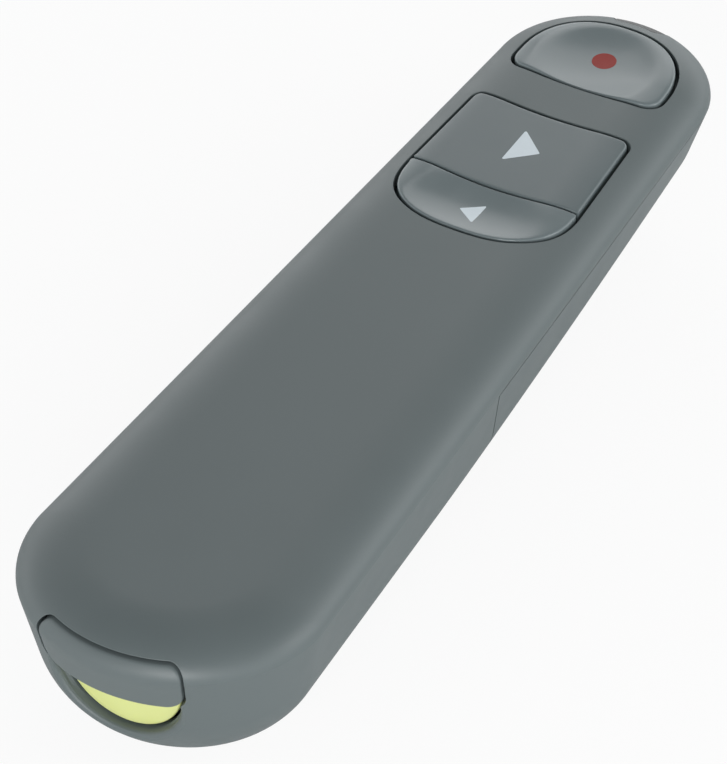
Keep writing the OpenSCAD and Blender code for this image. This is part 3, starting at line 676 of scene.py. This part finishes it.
def scoop_cutter():
    """Cuts the round scoop under the cap, which flares outward and has a softer rim at its foot."""
    straight = lower_half_disc(LIP_R + LIP_GAP)
    outer = straight
    # The flare follows the skin, which lies elsewhere once it has flared, so it takes a few steps
    for _ in range(8):
        outer = flared(straight, on_skin("tail", outer)[:, 1])
    soft = np.clip((SCOOP_SOFT_Z - outer[:, 1]) / SCOOP_SOFT_RUN, 0, 1)
    rim_r = SCOOP_EDGE + SCOOP_SOFTER * soft**2 * (3 - 2 * soft)
    inner = [at_depth("tail", straight, y) for y in (SCOOP_BACK_Y, CAP_Y)]
    return opening_cutter("tail", outer, rim_r, inner=inner)


def window_cutter():
    return opening_cutter("nose", grown(WINDOW, WINDOW_GAP), WINDOW_RIM_R, WINDOW_WELL_Y)


def make_casing_top():
    shell = cut(casing_form("casing_top"), casing_form("hollow", WALL))
    cut(shell, front_block(0))
    # The wall of the round scoop, a thicker rim inside the tail under the grip lip
    rim = prism("tail", lower_half_disc(SCOOP_RIM_R), VIEWS["tail"][5], CAP_Y + 1)
    cut(shell, cut(rim, casing_form("form"), "INTERSECT"), "UNION")
    # Bosses that the screws bite into
    for x, y, _, _ in SCREWS:
        cut(shell, cylinder((x, y), 2, BOSS_R, BOARD_TOP, BOSS_TOP), "UNION")
        cut(shell, cylinder((x, y), 2, PILOT_R, BOARD_TOP - 1, BOARD_TOP + PILOT_DEPTH))
    cut(shell, opening_cutter("top", grown(LASER, KEY_GAP / 2), RIM_R, KEY_WELL_Z))
    cut(shell, opening_cutter("top", grown(NAV, KEY_GAP / 2), RIM_R, KEY_WELL_Z))
    cut(shell, opening_cutter("bottom", grown(DOOR, DOOR_GAP), DOOR_EDGE, DOOR_WELL_Z))
    cut(shell, opening_cutter("tail", grown(CAP, RECEIVER_GAP), RECEIVER_RIM_R, BAY_Y))
    cut(shell, scoop_cutter())
    cut(shell, window_cutter())
    return smooth(shell, CASING_CRISP)


def make_casing_front():
    shell = cut(casing_form("casing_front"), casing_form("hollow", WALL))
    cut(shell, front_block(SEAM), "INTERSECT")
    # The screws' columns, and two ribs that carry the laser barrel
    supports = [cylinder((x, y), 2, COLUMN_R, -1, top) for x, y, _, top in SCREWS]
    for y in RIB_YS:
        supports.append(prism("nose", box_outline(RIB_HALF_W, -1, BARREL_Z, 0.3, 80), y, y + RIB_T))
    for support in supports:
        cut(support, casing_form("form"), "INTERSECT")
        cut(support, front_block(SEAM), "INTERSECT")
        cut(shell, support, "UNION")
    for x, y, seat, _ in SCREWS:
        cut(shell, cylinder((x, y), 2, HEAD_R, -2, seat))
        cut(shell, cylinder((x, y), 2, PILOT_R, seat - 1, 15))
    cut(shell, cylinder((0, BARREL_Z), 1, BORE_R, BORE_Y0, BORE_Y1))
    cut(shell, window_cutter())
    return smooth(shell, CASING_CRISP)


def make_door():
    door = plug("door_panel", "bottom", DOOR, DOOR_EDGE, CELL_Z)
    cut(door, casing_form("hollow", WALL))
    for side in (-1, 1):
        cut(door, cylinder((side * CELL_X, CELL_Z), 1, POCKET_R, CELL_Y0 - SPRING_ROOM, CELL_Y1))
    cut(door, ball(NAIL_BALL, NAIL_R))
    return smooth(door)


def make_window():
    return smooth(plug("front_window", "nose", WINDOW, WINDOW_EDGE, WINDOW_T, WINDOW_DROP, follow=True))


# ---------------------------------------------------------------- keys and receiver
def dished(centre_y, depth, rim, widen):
    """How deep a fingertip's dish lies under a key's face, eased where the two meet."""
    r = (rim**2 + depth**2) / (2 * depth)
    centre_z = BODY_H + KEY_RISE - depth + r

    def sink(flat):
        away = (flat[:, 0] / widen) ** 2 + (flat[:, 1] - centre_y) ** 2
        # The dish is part of a ball, which has no surface past its own radius
        dish_z = centre_z - np.sqrt(r**2 - np.minimum(away, r**2 * 0.9))
        over = on_skin("top", flat)[:, 2] + KEY_RISE - dish_z
        return (over + np.sqrt(over**2 + DISH_EASE**2)) / 2 * DISH_SHARE

    return sink


laser_sink = dished(*LASER_DISH)
back_sink = dished(*BACK_DISH)


def make_key(name, loop, press_y, sink=level_surface):
    """A key with a rounded edge, the flange that holds it under the casing, and its post."""
    loop = grown(loop, -KEY_GAP / 2)
    # The edge turns more tightly along the divide, and eases to the rest within half a millimetre
    near_divide = np.clip(1.8 - np.abs(loop[:, 1] - arc_y(DIVIDE_Y, loop[:, 0])) / 0.5, 0, 1)
    edge_r = lerp(EDGE_R, DIVIDE_EDGE, near_divide)
    flange_top = FLANGE_Z + FLANGE_T
    foot = [(0, flange_top), (KEY_GAP + KEY_HOOK, flange_top), (KEY_GAP + KEY_HOOK, FLANGE_Z)]
    key = plug(name, "top", loop, edge_r, FLANGE_Z, -KEY_RISE, sink, foot)
    cut(key, cylinder((0, press_y), 2, POST_R, POST_Z, FLANGE_Z + 0.5), "UNION")
    return smooth(key)


def make_print(name, loop, sink=level_surface):
    """Ink on a key: a thin skin that follows its face."""
    return smooth(plug(name, "top", loop, INK_EDGE, INK_T, -KEY_RISE - INK_RISE, sink, follow=True))


def make_receiver_body():
    body = box_outline(RECEIVER_HALF_W, RECEIVER_Z, RECEIVER_TOP, RECEIVER_CORNER)
    rings = [at_depth("tail", body, CAP_Y)]
    for a in np.radians(np.linspace(0, 90, 7)):
        flat = grown(body, -RECEIVER_EDGE * (1 - math.cos(a)))
        rings.append(at_depth("tail", flat, RECEIVER_Y1 - RECEIVER_EDGE * (1 - math.sin(a))))
    solid = loft("receiver_plug_body", rings)
    lip = lower_half_disc(LIP_R)
    rings = []
    for a in np.radians(np.linspace(0, 90, 6)):
        flat = grown(lip, -LIP_EDGE * (1 - math.sin(a)))
        rings.append(at_depth("tail", flat, CAP_Y + LIP_EDGE * (1 - math.cos(a))))
    rings.append(at_depth("tail", lip, CAP_Y + LIP_T))
    cut(solid, loft("lip", rings), "UNION")
    half_w, low, high, depth = SOCKET
    socket = box_outline(half_w, low, high, 0.3, 80)
    cut(solid, prism("tail", socket, RECEIVER_Y1 - depth, RECEIVER_Y1 + 1))
    return smooth(solid)


def over_crease(flat):
    """How far the cap's face bridges the casing's crease, which it does not share."""
    # A mean of the skin above and below each point, where the nearest counts most
    steps = np.linspace(-0.9, 0.9, 13)
    weights = np.cos(steps * math.pi / 2) ** 2
    around = [w * on_skin("tail", flat + [0, CAP_BRIDGE * k])[:, 1] for k, w in zip(steps, weights)]
    return sum(around) / weights.sum() - on_skin("tail", flat)[:, 1]


def make_cap():
    """The receiver's cap: a thin plate with a soft edge, flush with the tail."""
    return smooth(plug("receiver_cap_plate", "tail", CAP, CAP_EDGE, CAP_Y, CAP_DROP, over_crease))


# ---------------------------------------------------------------- materials
def colour(code):
    """An sRGB hex colour as linear red, green, blue and alpha."""
    parts = [int(code[k:k + 2], 16) / 255 for k in (1, 3, 5)]
    return tuple(p / 12.92 if p < 0.04045 else ((p + 0.055) / 1.055) ** 2.4 for p in parts) + (1,)


def per_metre(size_mm):
    """The scale of a pattern whose features are this far apart."""
    return 1000 / size_mm


def add(tree, kind, inputs=None, **settings):
    """Adds a node with its settings. Each input is a value, or the socket that feeds it."""
    node = tree.nodes.new("ShaderNode" + kind)
    for name, value in settings.items():
        setattr(node, name, value)
    for name, value in (inputs or {}).items():
        if isinstance(value, bpy.types.NodeSocket):
            tree.links.new(value, node.inputs[name])
        else:
            node.inputs[name].default_value = value
    return node


def finish(name, code, **inputs):
    """A material with one plain shader, and its node tree and shader to add a pattern to."""
    material = bpy.data.materials.new(name)
    material.use_nodes = True
    tree = material.node_tree
    tree.nodes.clear()
    values = {"Base Color": colour(code)}
    for key, value in inputs.items():
        values[key.replace("_", " ").title().replace("Ior", "IOR")] = value
    shader = add(tree, "BsdfPrincipled", values)
    add(tree, "OutputMaterial", {"Surface": shader.outputs[0]})
    return material, tree, shader


def place_in(tree):
    """A place on the object that is being shaded, which moves with it."""
    return add(tree, "TexCoord").outputs["Object"]


def noise(tree, size_mm, detail=2.0, stretch=(1, 1, 1)):
    """An irregular pattern from 0 to 1, fixed to its object and drawn out along some axes."""
    spread = add(tree, "Mapping", {"Vector": place_in(tree), "Scale": stretch}).outputs[0]
    grain = {"Vector": spread, "Scale": per_metre(size_mm), "Detail": detail}
    return add(tree, "TexNoise", grain).outputs[0]


def stripes(tree, pitch_mm, direction, distortion=0.0):
    """Lines from 0 to 1 that follow each other along an axis."""
    # A scale of 1 gives a line every tenth of pi, in metres
    scale = round(math.pi / 10 * per_metre(pitch_mm))
    waves = {"Vector": place_in(tree), "Scale": scale, "Distortion": distortion}
    return add(tree, "TexWave", waves, bands_direction=direction).outputs["Fac"]


def ramp(tree, value, start, end, low, high, **settings):
    """A value between start and end, turned into one between low and high."""
    return add(tree, "MapRange", {"Value": value, 1: start, 2: end, 3: low, 4: high}, **settings).outputs[0]


def vary(tree, shader, socket, pattern, low, high):
    """Drives a shader's value between two limits by a pattern."""
    tree.links.new(ramp(tree, pattern, 0.3, 0.7, low, high), shader.inputs[socket])


def blend(tree, share, first, second):
    """One colour turned into another by a share. Each is a hex colour or a socket."""
    first, second = (colour(c) if isinstance(c, str) else c for c in (first, second))
    return add(tree, "Mix", {0: share, 6: first, 7: second}, data_type="RGBA").outputs[2]


def relief(tree, shader, pattern, height_mm):
    bump = add(tree, "Bump", {"Height": pattern, "Distance": height_mm * MM})
    tree.links.new(bump.outputs[0], shader.inputs["Normal"])


def maths(tree, operation, first, second=0.0):
    return add(tree, "Math", {0: first, 1: second}, operation=operation).outputs[0]


def along(tree, axis):
    """How far a place lies along an axis, in metres."""
    return add(tree, "SeparateXYZ", {0: place_in(tree)}).outputs[axis]


# Grains and drawn lines are coarser here than real ones, which are too fine for any picture
def moulded(name, light, dark, low, high, size_mm, height_mm, cloud_mm=9.0, **inputs):
    """A moulded or printed surface: two close tones in soft clouds, uneven polish and a fine grain."""
    material, tree, shader = finish(name, light, **inputs)
    clouds = noise(tree, cloud_mm, 3)
    tree.links.new(blend(tree, clouds, dark, light), shader.inputs["Base Color"])
    vary(tree, shader, "Roughness", noise(tree, cloud_mm / 2), low, high)
    relief(tree, shader, noise(tree, size_mm), height_mm)
    return material


def plated(name, light, dark, low, high, stretch, size_mm=0.6):
    """Bare metal with fine lines drawn along it and a slightly uneven shine."""
    material, tree, shader = finish(name, light, metallic=1.0)
    lines = noise(tree, size_mm, 3, stretch)
    tree.links.new(blend(tree, noise(tree, 4), dark, light), shader.inputs["Base Color"])
    vary(tree, shader, "Roughness", lines, low, high)
    relief(tree, shader, lines, 0.004)
    return material


def solder_mask():
    """Green lacquer over copper: raised traces in patches, and a few bare round pads."""
    material, tree, shader = finish("green solder mask over copper", "#14502B", roughness=0.3)
    # Traces 1 mm apart, where real ones lie three times closer
    traces = None
    for direction, patch_mm in (("X", 5.0), ("Y", 7.0)):
        lines = maths(tree, "GREATER_THAN", stripes(tree, 0.952, direction), 0.72)
        here = maths(tree, "MULTIPLY", lines, maths(tree, "GREATER_THAN", noise(tree, patch_mm, 0), 0.54))
        traces = here if traces is None else maths(tree, "MAXIMUM", traces, here)
    cells = add(tree, "TexVoronoi", {"Vector": place_in(tree), "Scale": per_metre(3.2)})
    pads = maths(tree, "LESS_THAN", cells.outputs["Distance"], 0.13)
    green = blend(tree, traces, "#14502B", "#2C7A45")
    tree.links.new(blend(tree, pads, green, "#C9A45C"), shader.inputs["Base Color"])
    tree.links.new(pads, shader.inputs["Metallic"])
    relief(tree, shader, traces, 0.03)
    return material


def ceramic_chips():
    """Tan ceramic bodies with a tinned cap at each end, by their distance from the row's middle."""
    row_x, body_half = 8.8, 0.5
    material, tree, shader = finish("ceramic with tinned ends", "#A38662", roughness=0.45)
    from_row = maths(tree, "SUBTRACT", maths(tree, "ABSOLUTE", along(tree, 0)), row_x * MM)
    ends = maths(tree, "GREATER_THAN", maths(tree, "ABSOLUTE", from_row), body_half * MM)
    body = blend(tree, noise(tree, 0.3), "#8C7152", "#AE9069")
    tree.links.new(blend(tree, ends, body, "#C4C6C6"), shader.inputs["Base Color"])
    tree.links.new(ends, shader.inputs["Metallic"])
    relief(tree, shader, noise(tree, 0.15), 0.01)
    return material


def cell_wrap():
    """Shrunk film on a steel cell: a copper-coloured band at the plus end, bare steel on the ends."""
    middle_y, band_from = (CELL_Y0 + CELL_Y1) / 2, 11
    material, tree, shader = finish("shrunk film on an AAA cell", "#2B3238", roughness=0.3)
    from_middle = maths(tree, "SUBTRACT", along(tree, 1), middle_y * MM)
    # The two cells lie opposite ways, one on each side of the middle
    toward_minus = maths(tree, "MULTIPLY", from_middle, maths(tree, "SIGN", along(tree, 0)))
    film = blend(tree, noise(tree, 6), "#262C31", "#343C42")
    film = blend(tree, maths(tree, "LESS_THAN", toward_minus, -band_from * MM), film, "#B0703C")
    facing = add(tree, "SeparateXYZ", {0: add(tree, "NewGeometry").outputs["Normal"]}).outputs[1]
    ends = maths(tree, "GREATER_THAN", maths(tree, "ABSOLUTE", facing), 0.7)
    tree.links.new(blend(tree, ends, film, "#BFC1C0"), shader.inputs["Base Color"])
    tree.links.new(ends, shader.inputs["Metallic"])
    vary(tree, shader, "Roughness", noise(tree, 2.5), 0.22, 0.4)
    return material


def turned_brass():
    """The fine rings that a lathe leaves, one after another along the barrel."""
    material, tree, shader = finish("turned brass", "#C9A052", metallic=1.0, roughness=0.25)
    # Rings a third of a millimetre apart, where a lathe leaves them several times closer
    rings = stripes(tree, 0.349, "Y", 0.4)
    tree.links.new(blend(tree, noise(tree, 3), "#B98F45", "#D3AC5F"), shader.inputs["Base Color"])
    relief(tree, shader, rings, 0.006)
    return material


MATERIALS = {
    # Rubbery paint over ABS: no gloss, and a grain too fine to see at arm's length
    "casing": moulded("soft-touch paint on ABS", "#5F6869", "#5A6364", 0.43, 0.49, 0.3, 0.004, 14),
    # The bare moulding: a little smoother than the paint beside it
    "satin_key": moulded("satin moulded ABS", "#606A6C", "#5C6668", 0.3, 0.38, 0.25, 0.003, 8),
    # Polished tool steel leaves it mirror-like, with a slow waviness and the bloom of fingers
    "gloss_key": moulded("polished ABS", "#6F797B", "#6B7577", 0.18, 0.23, 2.4, 0.004, 5),
    # Nearly black to the eye, and clear to the beam
    "window": moulded("smoked polycarbonate", "#1A1D1E", "#161819", 0.2, 0.28, 1.6, 0.0005, 4,
                      specular_ior_level=0.3),
    # Dyed right through, so it looks lit from within
    "lime": moulded("lime polycarbonate", "#D6DC93", "#CFD58A", 0.3, 0.36, 1.2, 0.001, 4,
                    subsurface_weight=0.25, subsurface_radius=(0.002, 0.002, 0.0008), subsurface_scale=0.5),
    # Ink from a silicone pad: thin, dull, faintly cloudy
    "red_ink": moulded("red pad-printing ink", "#953A34", "#8A342F", 0.45, 0.55, 0.2, 0.002, 1.2,
                       specular_ior_level=0.2),
    "pale_ink": moulded("pale pad-printing ink", "#D5DFE5", "#CDD7DD", 0.35, 0.5, 0.2, 0.002, 1.2),
    # Spark-eroded inner parts that nobody sees from outside
    "dark_plastic": moulded("black glass-filled nylon", "#2B2C2E", "#202123", 0.45, 0.65, 0.2, 0.02, 3),
    # Slippery, and so left smooth by its mould
    "stem_plastic": moulded("black acetal", "#1C1C1D", "#151516", 0.25, 0.35, 0.4, 0.003, 1),
    "tongue_plastic": moulded("white PBT", "#E4E4DF", "#D9D9D2", 0.4, 0.55, 0.3, 0.006, 3),
    # Black resin full of glass sand, which makes it dull
    "chip": moulded("moulded epoxy", "#242526", "#191A1B", 0.4, 0.6, 0.12, 0.01, 1.5),
    # Each of these has a make-up of its own, told where it is built
    "board": solder_mask(),
    "ceramic": ceramic_chips(),
    "cell_sleeve": cell_wrap(),
    "barrel_brass": turned_brass(),
    # Pressed, tinned, or drawn: bright metal told apart by the run of its lines
    "can_steel": plated("tinned steel", "#C6C8C8", "#B2B5B6", 0.28, 0.42, (1, 9, 1)),
    "contact_steel": plated("nickel-plated spring steel", "#CFCDC6", "#B9B7AF", 0.18, 0.34, (9, 1, 9), 0.5),
    "screw_steel": plated("zinc-plated steel", "#B7BABD", "#9EA2A6", 0.25, 0.45, (6, 6, 1), 0.4),
    "plug_steel": plated("nickel-plated steel sheet", "#C9CACA", "#B6B7B8", 0.2, 0.34, (1, 10, 1)),
    "gold": plated("gold flash on copper", "#D9B35E", "#C79D48", 0.18, 0.32, (1, 8, 1), 0.4),
    # Clear and polished, so that the beam stays sharp
    "lens_glass": moulded("acrylic lens", "#F2F8FA", "#EAF3F6", 0.02, 0.06, 0.8, 0.001, 2,
                          transmission_weight=0.9),
}

# ---------------------------------------------------------------- the pieces
FORWARD_ARROW = triangle([(-1.3, 28.95), (-1.3, 35.15), (2.25, 32.05)], 0.15)
BACK_ARROW = triangle([(1.05, 17.5), (-1.5, 19.25), (1.2, 21.05)], 0.12)

# Each with the body it rides, its material, its slot and the CAD nodes it stands for
PIECES = [
    (make_casing_top(), "casing", "casing", "casing", ["top_shell"]),
    (make_casing_front(), "casing", "casing", "casing", ["bottom_shell"]),
    (make_door(), "door", "casing", "casing", ["battery_door"]),
    (make_window(), "casing", "window", "window", ["nose_window"]),
    (make_key("laser_button_cap", LASER, PRESS_Y["laser"], laser_sink),
     "laser_button", "gloss_key", "gloss_key", ["laser_key"]),
    (make_key("forward_button_cap", forward_outline(), PRESS_Y["forward"]),
     "forward_button", "satin_key", "satin_key", ["forward_key"]),
    (make_key("back_button_cap", back_outline(), PRESS_Y["back"], back_sink),
     "back_button", "gloss_key", "gloss_key", ["back_key"]),
    (make_receiver_body(), "receiver", "lime", "lime", ["receiver_body"]),
    (make_cap(), "receiver", "casing", "casing", ["receiver_cap"]),
    (make_print("red_dot", disc(DOT_AT, DOT_R), laser_sink), "laser_button", "red_ink", "", []),
    (make_print("forward_arrow", FORWARD_ARROW), "forward_button", "pale_ink", "", []),
    (make_print("back_arrow", BACK_ARROW, back_sink), "back_button", "pale_ink", "", []),
]
for piece, body, material, slot, nodes in PIECES:
    piece.data.materials.clear()
    piece.data.materials.append(MATERIALS[material])
    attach(piece, body)
    if nodes:
        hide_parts(*nodes)

# The CAD's own solids that stay, each with the finish of its kind
CARRIED = {
    "stem_plastic": ["laser_stem", "forward_stem", "back_stem"],
    "board": ["main_board", "receiver_board"],
    "chip": ["controller_chip", "receiver_chip"],
    "ceramic": ["chip_parts"],
    "can_steel": ["laser_switch", "forward_switch", "back_switch", "radio_module", "clock_crystal",
                  "laser_diode"],
    "barrel_brass": ["laser_barrel"],
    "lens_glass": ["laser_lens"],
    "dark_plastic": ["battery_tray"],
    "cell_sleeve": ["battery_left", "battery_right"],
    "contact_steel": ["tail_contact", "front_contact_plus", "front_contact_minus", "tail_spring",
                      "front_spring"],
    "screw_steel": ["casing_screws"],
    "plug_steel": ["usb_shell"],
    "tongue_plastic": ["usb_tongue"],
    "gold": ["usb_contacts"],
}
for material, nodes in CARRIED.items():
    for node in nodes:
        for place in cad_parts[node].material_slots:
            place.material = MATERIALS[material]

# ---------------------------------------------------------------- floor, light and camera
FLOOR_HALF = 900
FLOOR_Z = -0.05
# How much of the floor's own light the camera sees, in place of the lamps' light on it
FLOOR_GLOW = 0.9
WHITE = (1, 1, 1, 1)
# The room's light by the sine of its height, each with its strength
ROOM_LOW = (0.2, 1.85)
ROOM_HIGH = (0.68, 0.22)
ROOM_TAIL_SHARE = 0.7
ROOM_NOSE_SHARE = 1.3
ROOM_TINT = (0.97, 0.99, 1, 1)

scene = bpy.context.scene
scene.view_settings.view_transform = "Standard"


def is_seen(tree):
    """1 for what the camera sees directly, and 0 for light on its way to something else."""
    return add(tree, "LightPath").outputs["Is Camera Ray"]


corners = [(-FLOOR_HALF, -FLOOR_HALF), (FLOOR_HALF, -FLOOR_HALF), (FLOOR_HALF, FLOOR_HALF),
           (-FLOOR_HALF, FLOOR_HALF)]
floor = make_piece("floor", [(x, y, FLOOR_Z) for x, y in corners], [(0, 1, 2, 3)])
paper, tree, shader = finish("white paper", "#F4F4F4", roughness=0.9)
glow = maths(tree, "MULTIPLY", is_seen(tree), FLOOR_GLOW)
white = add(tree, "Emission", {"Color": WHITE, "Strength": 1.0})
both = add(tree, "MixShader", {0: glow, 1: shader.outputs[0], 2: white.outputs[0]})
tree.links.new(both.outputs[0], tree.nodes["Material Output"].inputs["Surface"])
floor.data.materials.append(paper)

# A pale room: bright all round at table height, dim above, white where the camera sees it
world = bpy.data.worlds.new("studio")
world.use_nodes = True
scene.world = world
tree = world.node_tree
tree.nodes.clear()
way = add(tree, "SeparateXYZ", {0: add(tree, "TexCoord").outputs["Generated"]})
by_height = ramp(tree, way.outputs[2], ROOM_LOW[0], ROOM_HIGH[0], ROOM_LOW[1], ROOM_HIGH[1],
                 interpolation_type="SMOOTHSTEP")
# The end that the nose points to is the brighter one
by_end = ramp(tree, way.outputs[1], -1.0, 1.0, ROOM_TAIL_SHARE, ROOM_NOSE_SHARE)
room = add(tree, "Background", {"Color": ROOM_TINT, "Strength": maths(tree, "MULTIPLY", by_height, by_end)})
white = add(tree, "Background", {"Color": WHITE, "Strength": 1.0})
both = add(tree, "MixShader", {0: is_seen(tree), 1: room.outputs[0], 2: white.outputs[0]})
add(tree, "OutputWorld", {"Surface": both.outputs[0]})


def lamp(name, place, aim, width, height, strength):
    """A flat soft light at a place in millimetres, turned to what it lights, in watts."""
    light = bpy.data.lights.new(name, "AREA")
    light.shape = "RECTANGLE"
    light.size, light.size_y, light.energy = width * MM, height * MM, strength
    obj = bpy.data.objects.new(name, light)
    scene.collection.objects.link(obj)
    obj.location = Vector(place) * MM
    obj.rotation_euler = (Vector(aim) - Vector(place)).to_track_quat("-Z", "Y").to_euler()


lamp("side window", (400, 90, 220), (0, 0, 10), 200, 200, 0.38)
lamp("front window", (150, -480, 210), (0, -50, 12), 220, 200, 1.25)
lamp("softbox behind the nose", (-90, 300, 210), (0, 30, 20), 170, 120, 0.11)

# The camera looks down past the tail's corner, from far enough to keep the sides nearly parallel
AZIMUTH, ELEVATION, ROLL = math.radians(30.693), math.radians(41.473), math.radians(-1.303)
AIM = Vector((-2.656, -1.652, 10))
DISTANCE = 650.0
LENS = 264.4
level = math.cos(ELEVATION)
back = Vector((math.sin(AZIMUTH) * level, -math.cos(AZIMUTH) * level, math.sin(ELEVATION)))
right = Vector((math.cos(AZIMUTH), math.sin(AZIMUTH), 0))
axes = Matrix((right, back.cross(right), back)).transposed() @ Matrix.Rotation(ROLL, 3, "Z")
data = bpy.data.cameras.new("camera")
data.lens = LENS
data.sensor_width = 36
data.clip_start, data.clip_end = 0.01, 10
camera = bpy.data.objects.new("camera", data)
camera.matrix_world = Matrix.Translation((AIM + back * DISTANCE) * MM) @ axes.to_4x4()
scene.collection.objects.link(camera)
scene.camera = camera
